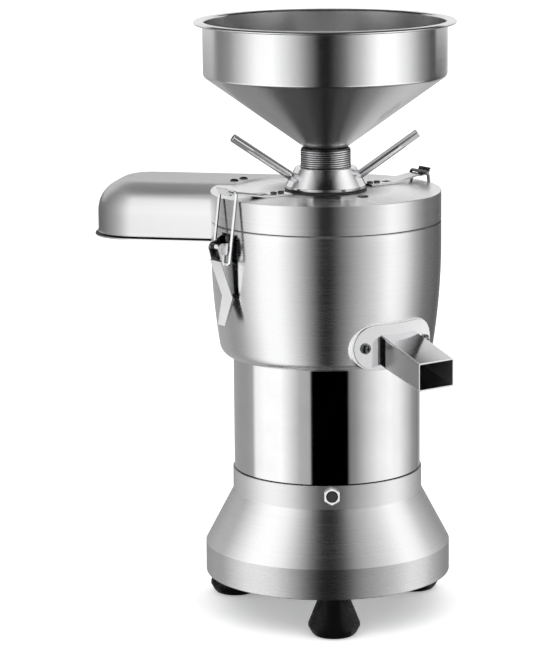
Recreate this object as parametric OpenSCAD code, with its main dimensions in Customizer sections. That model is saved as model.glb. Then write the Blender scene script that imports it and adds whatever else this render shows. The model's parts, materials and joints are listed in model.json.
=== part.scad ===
// Soybean grinder that separates milk and pulp: a free-standing machine with a vertical motor,
// a feed hopper, an adjusting ring with two handles, a milk spout and a pulp hood.
// Units are millimetres, +Z is up, the feet stand on z = 0 and the pulp hood points to -X.
// Angles are plan angles about the motor axis, counted from +X towards +Y.

/* [Levels] */
// Height of the rubber feet
foot_h = 36; // [30:1:45]
// Height of the rim band of the base
rim_h = 29; // [27:1:36]
// Height of the cone of the base
base_cone_h = 50; // [44:1:60]
// Height of the neck of the base
neck_h = 22; // [21:1:28]
// Height of the motor barrel
barrel_h = 108; // [96:1:130]
// Height of the grinding chamber
chamber_h = 126.5; // [122:0.5:150]
// Thickness of the lid gasket
gasket_t = 1; // [0.6:0.1:2]
// Height of the lid
lid_h = 27; // [26:1:34]
// Thickness of the thrust washer under the adjusting ring
washer_t = 1.4; // [1:0.1:2]
// Height of the straight band of the adjusting ring
ring_band_h = 3; // [2:0.5:5]
// Height of the cone of the adjusting ring
ring_cone_h = 17; // [14:0.5:22]
// Length of thread that shows above the adjusting ring
thread_show = 17.5; // [12:0.5:24]
// Thickness of the hopper seal
seal_t = 1; // [0.8:0.1:2]
// Height of the hopper cone
hopper_cone_h = 66.5; // [55:0.5:80]
// Height of the hopper wall
hopper_wall_h = 50.5; // [40:0.5:70]

/* [Base and motor] */
// Radius of the base rim
base_r = 115.4; // [112:0.1:125]
// Wall of the base rim
base_wall = 5; // [4:0.5:7]
// Chamfer at the bottom edge of the base
base_edge = 1.5; // [0.5:0.1:2]
// Wall of the base neck
neck_wall = 9; // [8:0.5:10]
// Width of the ledge beside the barrel
neck_ledge = 1.4; // [0.8:0.1:3]
// Thickness of the bottom plate
plate_t = 2; // [1.5:0.1:3]
// Radius of the motor barrel
barrel_r = 87.6; // [84:0.1:92]
// Wall of the motor barrel
barrel_wall = 2.6; // [2:0.1:3.5]
// Radius of the shaft in its bearings
shaft_r = 8.5; // [7.5:0.1:9]
// Outer radius of the ball bearings
bearing_r = 20; // [18:0.5:22]
// Width of the ball bearings
bearing_w = 12; // [10:0.5:14]
// Share of the stator radius that the rotor fills
rotor_share = 0.486; // [0.44:0.002:0.52]
// Radius of the cooling fan
fan_r = 58; // [45:1:62]
// Radius of the tie bolts
tie_bolt_r = 3; // [2.5:0.5:3.5]

/* [Feet] */
// How far the foot centres lie inside the base rim
foot_inset = 15.4; // [15:0.1:18]
// Radius of a foot under the base
foot_top_r = 14; // [12:0.5:15]
// Largest radius of a foot
foot_max_r = 24; // [20:0.5:26]
// Radius of a foot on the floor
foot_floor_r = 19.5; // [16:0.5:20]
// Height of the widest part of a foot
foot_waist_h = 9.5; // [7:0.5:12]

/* [Chamber and lid] */
// Radius of the chamber and the lid
chamber_r = 107.5; // [105:0.5:112]
// Wall of the chamber and the lid
chamber_wall = 5; // [4:0.5:6]
// How far the chamber wall draws in towards its bottom
chamber_draw = 7.1; // [4:0.1:8]
// Radius of the bottom corner of the chamber
chamber_corner = 12; // [10:0.5:16]
// Thickness of the chamber floor
chamber_floor_t = 10; // [9:0.5:12]
// Thickness of the lid top
lid_t = 6; // [5:0.5:7]

/* [Grinding] */
// Radius of the grinding stones
stone_r = 50; // [45:1:52]
// Height of each grinding stone
stone_h = 22; // [18:0.5:23]
// Gap between the stones at the finest setting
stone_gap = 0.5; // [0.4:0.1:1]
// Crest radius of the threaded feed tube
tube_r = 23.4; // [22:0.1:25]
// Wall of the feed tube
tube_wall = 4.6; // [4.2:0.1:5]
// Pitch of the feed thread
thread_pitch = 2; // [1.5:0.5:3]
// Radius of the adjusting ring at its band
ring_r = 37.3; // [36:0.1:40]
// Radius of the adjusting ring at its top
ring_top_r = 27.8; // [27.5:0.1:30]
// Radius of the two ring handles
handle_r = 4; // [3:0.25:4.5]
// Length of a ring handle from the ring axis to its tip, measured in plan
handle_reach = 87; // [70:1:95]
// Rise angle of the ring handles
handle_rise = 34.5; // [25:0.5:37]

/* [Hopper] */
// Radius of the hopper wall
hopper_r = 113; // [100:0.5:120]
// Width of the hopper rim
hopper_rim_w = 8.5; // [6:0.5:12]
// Sheet thickness of the hopper
hopper_t = 1.2; // [1:0.1:2]
// Length of the hopper spigot inside the feed tube
spigot_len = 24; // [15:1:30]

/* [Pulp hood] */
// Length of the hood beyond the lid
hood_len = 120; // [100:1:140]
// Width of the hood
hood_w = 115; // [108:1:118]
// How far the far wall of the hood lies inside the lid radius
hood_far_inset = 1.1; // [0.8:0.1:4]
// Height of the hood from its lip to the lid top
hood_drop = 51.2; // [46:0.2:60]
// Fillet radius along the top of the hood
hood_fillet = 30; // [24:0.5:32]
// Plan radius of the hood corners
hood_corner = 43; // [36:0.5:50]
// Sheet thickness of the hood
hood_t = 1.5; // [1:0.1:2]
// Width of the flared lip of the hood
hood_lip = 3; // [2:0.5:4]
// How far the hood laps over the lid top
hood_lap = 18; // [14:0.5:22]

/* [Milk spout] */
// Plan angle of the spout
spout_angle = 318.8; // [312:0.2:326]
// Height of the spout centre above the chamber bottom
spout_lift = 23.5; // [22:0.5:34]
// Length of the spout flange
flange_w = 90; // [84:1:98]
// Height of the spout flange
flange_h = 42; // [40:0.5:46]
// Sheet thickness of the spout
spout_t = 1.5; // [1:0.1:2]
// Width of the chute
chute_w = 41; // [36:0.5:44]
// Height of the chute
chute_h = 28.5; // [24:0.5:30]
// Distance of the chute mouth from the motor axis
chute_reach = 161; // [150:1:175]
// Downward slope of the chute
chute_slope = 15.5; // [10:0.5:18]
// How much lower the chute is at its mouth
chute_taper = 2.5; // [0:0.5:5]

/* [Latches] */
// Plan angle of the left latch; the right one lies opposite
latch_angle = 226; // [215:0.5:232]
// Distance of the lever pivot from the chamber wall
latch_standoff = 9.5; // [9:0.1:11]
// Drop of the lever pivot below the lid
latch_drop = 16.5; // [16:0.5:22]
// Distance from the lever pivot to the bail pivot
latch_throw = 14; // [13:0.5:16]
// Length of the lever from its pivot to its tip
lever_len = 72; // [64:1:80]
// Width of the lever
lever_w = 18; // [16:0.5:20]
// Radius of the bail wire
wire_r = 1.5; // [1.25:0.05:1.75]
// Height of the bail crossbar above the lid
hook_lift = 8; // [7.5:0.5:12]

/* [Electrics] */
// Plan angle of the overload breaker
breaker_angle = 283.8; // [280:0.2:288]
// Radius of the reset button
button_r = 4.4; // [3.5:0.1:4.6]
// Plan angle of the power switch
switch_angle = 75; // [66:1:80]
// Plan angle of the cord gland
gland_angle = 108; // [102:1:114]
// Radius of the cord hole in the gland
cord_hole_r = 3.75; // [3:0.05:4.5]

/* [Clearances] */
// Gap between pieces that move past each other
move_gap = 0.3; // [0.3:0.05:0.4]
// Gap between fixed pieces that slip together
slip_gap = 0.1; // [0.05:0.05:0.15]
// Radial clearance of a pin or shaft that turns
run_gap = 0.06; // [0.03:0.01:0.1]

/* [Hidden] */
$fn = 96;
over = 1;

// Levels, from the floor up
base_z = foot_h;
rim_z = base_z + rim_h;
cone_z = rim_z + base_cone_h;
neck_z = cone_z + neck_h;
chamber_z = neck_z + barrel_h;
chamber_top = chamber_z + chamber_h;
lid_z = chamber_top + gasket_t;
lid_top = lid_z + lid_h;
washer_top = lid_top + washer_t;
ring_z = washer_top + move_gap;
ring_cone_z = ring_z + ring_band_h;
ring_top = ring_cone_z + ring_cone_h;
tube_top = ring_top + thread_show;
seal_z = tube_top + move_gap;
hopper_z = seal_z + seal_t;
hopper_crease_z = hopper_z + hopper_cone_h;
hopper_top = hopper_crease_z + hopper_wall_h;

// Base
neck_r = barrel_r + neck_ledge;
neck_in = neck_r - neck_wall;
rim_in = base_r - base_wall;
rebate_w = 2;
rebate_r = rim_in + rebate_w;
plate_top = base_z + plate_t;
wall_drop = 3;
vent_ring = 40;
vent_r = 4;
vent_count = 12;
rim_mid = base_z + rim_h / 2;
face_margin = 0.5;
boss_h = 16;
foot_boss_r = 12;

// Feet and their screws
foot_ring_r = base_r - foot_inset;
foot_angles = [44.3, 164.3, 284.3];
foot_screw_r = 4;
foot_head_r = 7.5;
foot_head_h = 5;
foot_recess_r = 9;
foot_recess_h = 14;
foot_screw_grip = 12;
foot_screw_top = plate_top + foot_screw_grip;
floor_edge = 2.5;

// Motor
tie_inset = 9;
tie_ring_r = barrel_r - barrel_wall - tie_inset;
tie_angles = [90, 210, 330];
tie_boss_h = 9;
tie_boss_r = 7;
tie_head_h = 5;
tie_head_r = 2 * tie_bolt_r;
tie_depth = 7;
bracket_t = 6;
bracket_r = barrel_r - barrel_wall - slip_gap;
skirt_h = 17;
hub_wall = 6;
hub_floor_t = 4;
shaft_room = 4;
rotor_gap = 0.5;
stator_land = 3;
stator_r = tie_ring_r - tie_bolt_r - stator_land;
rotor_r = stator_r * rotor_share;
skirt_w = 7;
lower_bracket_top = neck_z + bracket_t;
bracket_seat = 2;
upper_bracket_z = chamber_z - bracket_t - bracket_seat;
stator_z = lower_bracket_top + skirt_h;
stator_top = upper_bracket_z - skirt_h;
winding_h = 13;
winding_gap = 5;
winding_share = 0.672;
winding_out = stator_r - skirt_w - winding_gap;
winding_in = winding_out * winding_share;
lower_bearing_z = neck_z + hub_floor_t;
upper_bearing_z = chamber_z - hub_floor_t - bearing_w;
shaft_tail = 28;
shaft_z = cone_z - shaft_tail;
fan_lift = 4;
fan_z = shaft_z + fan_lift;
fan_h = 16;
fan_plate_t = 2;
fan_blades = 8;
fan_hub_r = 16;
fan_blade_t = 2;
fan_blade_in = 1;

// Grinding
carrier_lift = 35;
carrier_z = chamber_z + carrier_lift;
carrier_t = 10;
carrier_hub_h = 12;
carrier_hub_r = 16;
carrier_lip_h = 6;
carrier_lip = 3;
stone_eye_r = 19;
stone_dish = 4;
stone_land = 12;
lower_stone_z = carrier_z + carrier_t;
lower_stone_top = lower_stone_z + stone_h;
upper_stone_z = lower_stone_top + stone_gap;
tube_flange_z = upper_stone_z + stone_h;
tube_flange_t = 6;
tube_in = tube_r - tube_wall;
thread_depth = 0.8;
thread_rise = 0.35;
thread_crest = 0.55;
thread_fall = 0.9;
tube_root = tube_r - thread_depth;
stud_r = 6;
nut_h = 8;
nut_r = 11;
stud_end = 3;
stud_top = lower_stone_z + nut_h + stud_end;
seal_pocket_r = 15;
seal_room = 3;
seal_h = 8;
chamber_hub_r = 22;
chamber_hub_h = 10;
chamber_hub_top = chamber_z + chamber_floor_t + chamber_hub_h;
basket_t = 1.2;
basket_room = 10.5;
basket_r = chamber_r - chamber_wall - basket_room;
basket_rise = 2;
basket_top = lid_z + basket_rise;
basket_flange_t = 1.2;
basket_seat = 2;
basket_foot_r = stone_r + carrier_lip + basket_seat;
stone_screw_ring = 36;
stone_screw_r = 2.5;
stone_head_h = 3;

// Lid
lid_in = chamber_r - chamber_wall;
lid_edge = 0.8;
gasket_inset = 0.8;
lid_plate_z = lid_top - lid_t;
lid_hub_r = 46;
lid_hub_lift = 4;
lid_hub_z = lid_z + lid_hub_lift;
ring_spigot_r = 30;
spigot_lift = 3;
spigot_z = lid_hub_z + spigot_lift;
clip_t = 1.5;
clip_r = 34;
clip_groove = 1.5;
clip_slot = 6;
clip_lift = 2;
clip_z = spigot_z + clip_lift;
clip_room_r = 36;
clip_ledge_z = clip_z + clip_t + move_gap;
guide_t = 5;
guide_z = lid_hub_z - guide_t;
key_w = 6;
key_depth = 2;
key_lap = 2;
guide_screw_ring = 41;
guide_screw_r = 2;
guide_head_h = 2;
guide_grip = 7;
guide_hole_h = 8;
guide_screw_angles = [60, 180, 300];
key_gap = move_gap;
baffle_t = 2.5;
baffle_lift = 3;
baffle_z = lid_z + baffle_lift;
baffle_room = 4;
baffle_in = basket_r + baffle_room;
window_low = baffle_z + baffle_t;
plug_ring = 58.3;
plug_angle = 316.7;
plug_r = 5;
plug_h = 0.8;

// Chamber wall
straight_h = 22;
wall_start = lid_z - straight_h;
wall_end = chamber_z + chamber_corner;
function wall_r(z) = z >= wall_start ? chamber_r
    : chamber_r - chamber_draw * pow((wall_start - z) / (wall_start - wall_end), 2);
wall_tilt = atan(2 * chamber_draw / (wall_start - wall_end));
wall_steps = 9;
corner_steps = 7;

// Hopper
hopper_rim_r = hopper_r + hopper_rim_w;
hopper_step = 2.6;
hopper_neck_r = tube_r - hopper_step;
hopper_spigot_r = tube_in - move_gap;
hopper_slope = atan2(hopper_cone_h, hopper_r - hopper_neck_r);
hopper_blend = 6;
rim_bead = 1.5;

// Adjusting ring
ring_in = tube_r + move_gap;
ring_edge = 0.6;
thread_z = spigot_z;
thread_count = floor((tube_top - thread_z) / thread_pitch) - 1;
washer_edge = 0.8;
washer_r = ring_r + washer_edge;
handle_angle = 20;
handle_edge = 0.8;
handle_socket = 6.5;
handle_root_z = ring_cone_z + ring_cone_h / 2;
handle_root_r = (ring_r + ring_top_r) / 2;
handle_len = (handle_reach - handle_root_r) / cos(handle_rise);

// Hood
hood_tip = chamber_r + hood_len;
hood_far = chamber_r - hood_far_inset;
hood_near = hood_far - hood_w;
hood_top = lid_top + hood_t;
hood_z = lid_top - hood_drop;
hood_end = -12;
hood_gap = slip_gap;
hood_steps = 8;
hood_screw_ring = chamber_r - hood_lap / 2;
hood_screw_angles = [153.5, 162.5];
hood_screw_r = 2;
hood_head_h = 1.6;
hood_lip_t = 1.5;

// Milk spout
spout_z = chamber_z + spout_lift;
seat_margin = 2;
seat_r = wall_r(spout_z + flange_h / 2 + seat_margin) + slip_gap;
spout_gasket_t = 1;
flange_in = seat_r + spout_gasket_t;
flange_extra = 0.5;
flange_out = flange_in + spout_t + flange_extra;
boss_margin = 0.8;
chute_depth = 21;
chute_root = seat_r - chute_depth;
chute_overlap = 3;
chute_lift = -2.5;
screw_inset = 10.5;
spout_screw_y = flange_w / 2 - screw_inset;
spout_screw_r = 2.5;
spout_screw_depth = 9;
spout_screw_root = sqrt(pow(seat_r, 2) - pow(spout_screw_y, 2)) - spout_screw_depth;
spout_head_r = 2 * spout_screw_r;
spout_head_sink = 3;
spout_screw_head_h = 2;

// Latches
latch_angles = [latch_angle, latch_angle - 180];
latch_pr = chamber_r + latch_standoff;
latch_pz = lid_z - latch_drop;
bail_qz = latch_pz - latch_throw;
hook_standoff = 0.8;
hook_r = chamber_r + hook_standoff;
hook_z = lid_top + hook_lift;
hook_gap = 0.5;
strap_t = 1.5;
strap_w = 22;
strap_tip_w = 17;
strap_past = 2.5;
strap_lip_bend = 0.6;
strap_lip_run = 3;
strap_lip_h = 5;
strap_lip_edge = [1.4, 0.6];
strap_end_room = 8;
strap_slot = 8;
strap_slot_gap = 1;
strap_inset = 7.7;
strap_start = ring_r + strap_inset;
strap_flat_inset = 33.5;
strap_flat = chamber_r - strap_flat_inset;
strap_rise_inset = 7.5;
strap_rise = chamber_r - strap_rise_inset;
rivet_edge = 5.5;
rivet_pitch = 8;
strap_rivets_r = [strap_start + rivet_edge, strap_start + rivet_edge + rivet_pitch];
rivet_r = 2;
rivet_head_r = 3;
rivet_head_h = 1.2;
cheek_t = 1.2;
pin_r = 2.5;
pivot_pad = 5.5;
lever_fold = 5.2;
lever_fold_r = latch_pr + lever_fold;
cheek_swell = 2.5;
lever_fold_drop = 11;
lever_bend_r = chamber_r + hook_standoff;
ear_t = 1.5;
ear_gap = 0.4;
ear_in = lever_w / 2 + ear_gap;
ear_out = ear_in + ear_t;
pin_head = 0.6;
pin_head_lap = 0.8;
bail_gap = 0.4;
bail_y = ear_out + pin_head + move_gap + wire_r + bail_gap;
bracket_plate_t = 1.5;
bracket_low = 13;
bracket_high = 12;
bracket_step = 2;
rivet_grip = 4;
bracket_rivet_span = 8;
bracket_rivet_z = [latch_pz - bracket_rivet_span, latch_pz + bracket_rivet_span];
lever_t = 1.2;
lever_bend = 46;
lever_tip_w = 12;
lever_tip_in = 0.6;
cheek_end = 4;
bail_end_gap = 0.6;

// Electrics
breaker_drop = 9.3;
breaker_z = neck_z - breaker_drop;
spot_depth = 0.6;
breaker_seat = neck_r - spot_depth;
breaker_bush_r = 5.5;
breaker_body_r = 9;
breaker_face = sqrt(pow(neck_in, 2) - pow(breaker_body_r, 2));
breaker_body_len = 22;
breaker_nut_r = 8.1;
breaker_nut_t = 3;
button_out = 1;
button_room = 5;
switch_depth = 0.9;
switch_seat = base_r - switch_depth;
switch_w = 23;
switch_h = 17;
switch_body_w = 19;
switch_body_h = 13;
switch_body_len = 17;
bezel_t = 2;
rocker_w = 13.6;
rocker_h = 9;
rocker_tilt = 9;
rocker_back = 2;
rocker_out = 1.4;
rocker_dip = 1;
rocker_pocket = 8;
trunnion_r = 1.2;
trunnion_len = 1.4;
gland_depth = 0.8;
gland_seat = base_r - gland_depth;
gland_thread_r = 8;
gland_hex_r = 12;
gland_hex_t = 5;
gland_dome_r = 9.5;
gland_taper = 2.5;
gland_len = 18;
gland_nut_t = 4;
capacitor_r = 18;
capacitor_len = 70;
capacitor_y = 38;
clamp_t = 1.5;
clamp_w = 14;
clamp_foot = 12;
terminal_size = [34, 20, 16];
terminal_y = -46;
terminal_inset = 4;
small_screw_r = 2;
small_head_r = 3.4;
small_head_h = 2;
capacitor_z = plate_top + capacitor_r;
clamp_ear_y = capacitor_r + clamp_foot / 2 + clamp_t;
inner_screw_places = concat(
    [for (s = [-1, 1]) [0, capacitor_y + s * clamp_ear_y]],
    [for (s = [-1, 1]) [s * (terminal_size[0] / 2 - terminal_inset), terminal_y]]
);

// The box centre of the whole machine is the origin, so the motor axis lies beside it
spout_corner_x = chute_reach * cos(spout_angle) - chute_w / 2 * sin(spout_angle);
box_left = hood_tip + hood_lip;
box_right = max(hopper_rim_r, spout_corner_x);
box_front = max(hopper_rim_r, foot_ring_r * abs(sin(foot_angles[2])) + foot_max_r);
box_back = (gland_seat + gland_len) * sin(gland_angle) + gland_dome_r * abs(cos(gland_angle));
axis_x = (box_left - box_right) / 2;
axis_y = (box_front - box_back) / 2;

// Shared helpers

// Moves what is drawn about the motor axis to its place in the part
module on_axis() {
    translate([axis_x, axis_y, 0]) children();
}

// Local frame at a plan angle: X points outwards, Y along the tangent
module around(angle, r = 0, z = 0) {
    rotate([0, 0, angle]) translate([r, 0, z]) children();
}

// Flat tube between two heights
module tube(r_out, r_in, z0, z1) {
    translate([0, 0, z0])
        difference() {
            cylinder(r = r_out, h = z1 - z0);
            translate([0, 0, -over]) cylinder(r = r_in, h = z1 - z0 + 2 * over);
        }
}

// Upright rod between two heights
module rod(r, z0, z1) {
    translate([0, 0, z0]) cylinder(r = r, h = z1 - z0);
}

// Rod along the local X axis between two distances from the motor axis
module spoke(r, x0, x1, z) {
    translate([x0, 0, z]) rotate([0, 90, 0]) cylinder(r = r, h = x1 - x0);
}

// Extrudes an outline of (distance, height) along the tangent, centred
module side_plate(t) {
    rotate([90, 0, 0]) linear_extrude(t, center = true) children();
}

// Extrudes an outline of (tangent, height) outwards between two distances
module face_plate(x0, x1) {
    translate([x0, 0, 0]) rotate([90, 0, 90]) linear_extrude(x1 - x0) children();
}

// Pan head on top of a shank that points down, both about the local axis
module screw_down(shank_r, head_r, head_h, depth, z) {
    rod(head_r, z, z + head_h);
    rod(shank_r, z - depth, z);
}

// Points of a circular arc
function arc(cx, cy, r, a0, a1, n) =
    [for (i = [0:n]) [cx + r * cos(a0 + (a1 - a0) * i / n), cy + r * sin(a0 + (a1 - a0) * i / n)]];

// Base and feet

module base_holes() {
    for (a = foot_angles) around(a, foot_ring_r) rod(foot_screw_r, base_z - over, foot_screw_top);
    for (a = tie_angles) around(a, tie_ring_r) {
        rod(tie_bolt_r + slip_gap, neck_z - tie_boss_h - over, neck_z + over);
        rod(tie_head_r + face_margin, neck_z - tie_boss_h - 2 * tie_head_h, neck_z - tie_boss_h);
    }
    around(breaker_angle) {
        spoke(breaker_bush_r + slip_gap, neck_in - over, neck_r + over, breaker_z);
        spoke(breaker_nut_r + face_margin, breaker_seat, neck_r + 2 * over, breaker_z);
    }
    around(switch_angle, 0, rim_mid) {
        translate([switch_seat, -switch_w / 2 - over, -switch_h / 2 - over])
            cube([base_wall, switch_w + 2 * over, switch_h + 2 * over]);
        translate([rim_in - over, -switch_body_w / 2 - slip_gap, -switch_body_h / 2 - slip_gap])
            cube([base_wall + over, switch_body_w + 2 * slip_gap, switch_body_h + 2 * slip_gap]);
    }
    around(gland_angle) {
        spoke(gland_thread_r + slip_gap, rim_in - over, base_r + over, rim_mid);
        spoke(gland_hex_r + face_margin, gland_seat, base_r + 2 * over, rim_mid);
    }
}

module base() {
    on_axis() color("silver") difference() {
        union() {
            rotate_extrude() polygon([
                [base_r - base_edge, base_z], [base_r, base_z + base_edge], [base_r, rim_z],
                [neck_r, cone_z], [neck_r, neck_z], [neck_in, neck_z], [neck_in, cone_z - wall_drop],
                [rim_in, rim_z - wall_drop], [rim_in, plate_top], [rebate_r, plate_top], [rebate_r, base_z]
            ]);
            for (a = foot_angles) around(a, foot_ring_r)
                rod(foot_boss_r, plate_top + slip_gap, plate_top + boss_h);
            for (a = tie_angles) around(a, tie_ring_r) rod(tie_boss_r, neck_z - tie_boss_h, neck_z);
        }
        base_holes();
    }
}

module bottom_plate() {
    on_axis() color("gray") difference() {
        rod(rebate_r - slip_gap, base_z, plate_top);
        for (a = foot_angles) around(a, foot_ring_r)
            rod(foot_screw_r + slip_gap, base_z - over, plate_top + over);
        for (i = [1:vent_count]) around(i * 360 / vent_count, vent_ring)
            rod(vent_r, base_z - over, plate_top + over);
        for (p = inner_screw_places) translate([p[0], p[1], 0])
            rod(small_screw_r, base_z - over, plate_top + over);
    }
}

module foot_profile() {
    polygon([
        [foot_screw_r + slip_gap, foot_recess_h], [foot_recess_r, foot_recess_h], [foot_recess_r, 0],
        [foot_floor_r - floor_edge / 2, 0], [foot_floor_r + floor_edge / 2, floor_edge],
        [foot_max_r, foot_waist_h - floor_edge / 2], [foot_max_r, foot_waist_h + floor_edge / 2],
        [foot_top_r, foot_h], [foot_screw_r + slip_gap, foot_h]
    ]);
}

module rubber_feet() {
    on_axis() color("dimgray")
        for (a = foot_angles) around(a, foot_ring_r) rotate_extrude() foot_profile();
}

module foot_screws() {
    on_axis() color("gainsboro")
        for (a = foot_angles) around(a, foot_ring_r) {
            rod(foot_head_r, foot_recess_h - foot_head_h, foot_recess_h);
            rod(foot_screw_r, foot_recess_h, foot_screw_top);
        }
}

// Motor

module motor_barrel() {
    on_axis() color("whitesmoke") tube(barrel_r, barrel_r - barrel_wall, neck_z, chamber_z);
}

module tie_holes(z0, z1) {
    for (a = tie_angles) around(a, tie_ring_r) rod(tie_bolt_r + slip_gap, z0, z1);
}

module lower_end_bracket() {
    on_axis() color("lightgray") difference() {
        union() {
            rod(bracket_r, neck_z, lower_bracket_top);
            rod(bearing_r + hub_wall, neck_z, lower_bearing_z + bearing_w);
            tube(stator_r, stator_r - skirt_w, lower_bracket_top - over, stator_z);
        }
        rod(bearing_r, lower_bearing_z, lower_bearing_z + bearing_w + over);
        rod(shaft_r + shaft_room, neck_z - over, lower_bearing_z + over);
        tie_holes(neck_z - over, stator_z + over);
    }
}

module upper_end_bracket() {
    on_axis() color("lightgray") difference() {
        union() {
            rod(bracket_r, upper_bracket_z, chamber_z);
            rod(bearing_r + hub_wall, upper_bearing_z, chamber_z);
            tube(stator_r, stator_r - skirt_w, stator_top, upper_bracket_z + over);
        }
        rod(bearing_r, upper_bearing_z - over, upper_bearing_z + bearing_w);
        rod(shaft_r + shaft_room, upper_bearing_z, chamber_z + over);
        tie_holes(stator_top - over, chamber_z + over);
    }
}

module stator_core() {
    on_axis() color("slategray") tube(stator_r, rotor_r + rotor_gap, stator_z, stator_top);
}

module stator_windings() {
    on_axis() color("peru") {
        tube(winding_out, winding_in, stator_z - winding_h, stator_z);
        tube(winding_out, winding_in, stator_top, stator_top + winding_h);
    }
}

module bearing(z) {
    tube(bearing_r, shaft_r + run_gap, z, z + bearing_w);
}

module lower_bearing() {
    on_axis() color("lightsteelblue") bearing(lower_bearing_z);
}

module upper_bearing() {
    on_axis() color("lightsteelblue") bearing(upper_bearing_z);
}

module tie_bolts() {
    on_axis() color("gainsboro")
        for (a = tie_angles) around(a, tie_ring_r) {
            rod(tie_bolt_r, neck_z - tie_boss_h, chamber_z + tie_depth);
            translate([0, 0, neck_z - tie_boss_h - tie_head_h])
                cylinder(r = tie_head_r, h = tie_head_h, $fn = 6);
        }
}

// Chamber

function wall_points(inset, z0, z1) = [for (i = [0:wall_steps])
    let (z = z0 + (z1 - z0) * i / wall_steps) [wall_r(z) - inset, z]];

// Wall outline from the bottom corner up, moved inwards by the inset
function pot_outline(inset, corner, z0, z1) =
    let (
        zc = z0 + corner,
        zw = zc - corner * sin(wall_tilt),
        rc = wall_r(zw) - inset - corner * cos(wall_tilt)
    )
    concat(
        [[0, z0]], arc(rc, zc, corner, -90, -wall_tilt, corner_steps),
        wall_points(inset, zw + over, z1), [[0, z1]]
    );

// Stadium outline of the spout seat in (tangent, height)
module spout_outline(margin) {
    translate([-(flange_w - flange_h) / 2, spout_z - flange_h / 2 - margin])
        square([flange_w - flange_h, flange_h + 2 * margin]);
    for (s = [-1, 1]) translate([s * (flange_w - flange_h) / 2, spout_z]) circle(r = flange_h / 2 + margin);
}

// Bent stadium plate between two radii
module spout_shell(r_in, r_out, margin) {
    intersection() {
        tube(r_out, r_in, spout_z - flange_h, spout_z + flange_h);
        around(spout_angle) face_plate(r_in / 2, r_out + over) spout_outline(margin);
    }
}

// Side outline of the chute in (distance, height), moved inwards by the inset
function chute_drop(x) = -(x - seat_r) * tan(chute_slope);
function chute_thin(x) = chute_taper * (x - seat_r) / (chute_reach - seat_r);

module chute_side(x0, x1, inset) {
    low = spout_z + chute_lift - chute_h / 2 + inset;
    high = spout_z + chute_lift + chute_h / 2 - inset;
    polygon([
        [x0, low + chute_drop(x0)], [x1, low + chute_drop(x1)],
        [x1, high + chute_drop(x1) - chute_thin(x1)], [x0, high + chute_drop(x0) - chute_thin(x0)]
    ]);
}

module chute_bore() {
    around(spout_angle) side_plate(chute_w - 2 * spout_t)
        chute_side(chute_root, chute_reach + over, spout_t);
}

module spout_screw_holes(r, x0, x1) {
    around(spout_angle) for (s = [-1, 1]) translate([0, s * spout_screw_y, 0])
        spoke(r, x0, x1, spout_z);
}

module chamber() {
    on_axis() color("silver") difference() {
        union() {
            rotate_extrude() polygon(pot_outline(0, chamber_corner, chamber_z, chamber_top));
            rod(barrel_r, chamber_z, chamber_z + chamber_floor_t / 2);
            spout_shell(seat_r / 2, seat_r, boss_margin);
        }
        difference() {
            rotate_extrude() polygon(pot_outline(chamber_wall, chamber_corner - chamber_wall,
                chamber_z + chamber_floor_t, chamber_top + over));
            rod(chamber_hub_r, chamber_z, chamber_hub_top);
        }
        rod(seal_pocket_r, chamber_hub_top - seal_h, chamber_hub_top + over);
        rod(shaft_r + seal_room, chamber_z - over, chamber_hub_top);
        tie_blind_holes();
        chute_bore();
        spout_screw_holes(spout_screw_r, spout_screw_root, seat_r + over);
        for (a = latch_angles) around(a) for (z = bracket_rivet_z)
            spoke(rivet_r, chamber_r - rivet_grip, chamber_r + over, z);
    }
}

module tie_blind_holes() {
    for (a = tie_angles) around(a, tie_ring_r) rod(tie_bolt_r, chamber_z - over, chamber_z + tie_depth);
}

module shaft_seal() {
    on_axis() color("saddlebrown")
        tube(seal_pocket_r, shaft_r + move_gap, chamber_hub_top - seal_h, chamber_hub_top);
}

module lid_gasket() {
    on_axis() color("darkslategray") tube(chamber_r - gasket_inset, lid_in, chamber_top, lid_z);
}

// Lid

module lid_shell() {
    rotate_extrude() polygon([
        [chamber_r, lid_z], [chamber_r, lid_top - lid_edge], [chamber_r - lid_edge, lid_top],
        [ring_spigot_r + move_gap, lid_top], [ring_spigot_r + move_gap, clip_ledge_z],
        [clip_room_r, clip_ledge_z], [clip_room_r, lid_hub_z], [lid_hub_r, lid_hub_z],
        [lid_hub_r, lid_plate_z], [lid_in, lid_plate_z], [lid_in, window_low], [baffle_in, window_low],
        [baffle_in, baffle_z], [lid_in, baffle_z], [lid_in, lid_z]
    ]);
}

module lid() {
    on_axis() color("silver") difference() {
        lid_shell();
        translate([-chamber_r - over, hood_near + 3 * hood_t, window_low])
            cube([chamber_r - lid_hub_r - over, hood_w - hood_fillet, lid_plate_z - window_low]);
        strap_rivet_holes(rivet_r);
        for (a = hood_screw_angles) around(a, hood_screw_ring)
            rod(hood_screw_r, lid_plate_z - over, lid_top + over);
        around(plug_angle, plug_ring) rod(plug_r, lid_top - lid_t / 2, lid_top + over);
        for (a = guide_screw_angles) around(a, guide_screw_ring)
            rod(guide_screw_r, lid_hub_z - over, lid_hub_z + guide_hole_h);
    }
}

module lid_plug() {
    on_axis() color("black") around(plug_angle, plug_ring)
        rod(plug_r, lid_top - lid_t / 2, lid_top + plug_h);
}

module thrust_washer() {
    on_axis() color("black") tube(washer_r, ring_spigot_r + move_gap, lid_top, washer_top);
}

module guide_plate() {
    on_axis() color("gainsboro") difference() {
        union() {
            tube(lid_hub_r, tube_root + move_gap, guide_z, lid_hub_z);
            for (s = [0, 180]) around(s)
                translate([tube_root - key_depth + key_gap, -key_w / 2 + key_gap, guide_z])
                    cube([key_depth + key_lap, key_w - 2 * key_gap, guide_t]);
        }
        for (a = guide_screw_angles) around(a, guide_screw_ring)
            rod(guide_screw_r, guide_z - over, lid_hub_z + over);
    }
}

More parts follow.
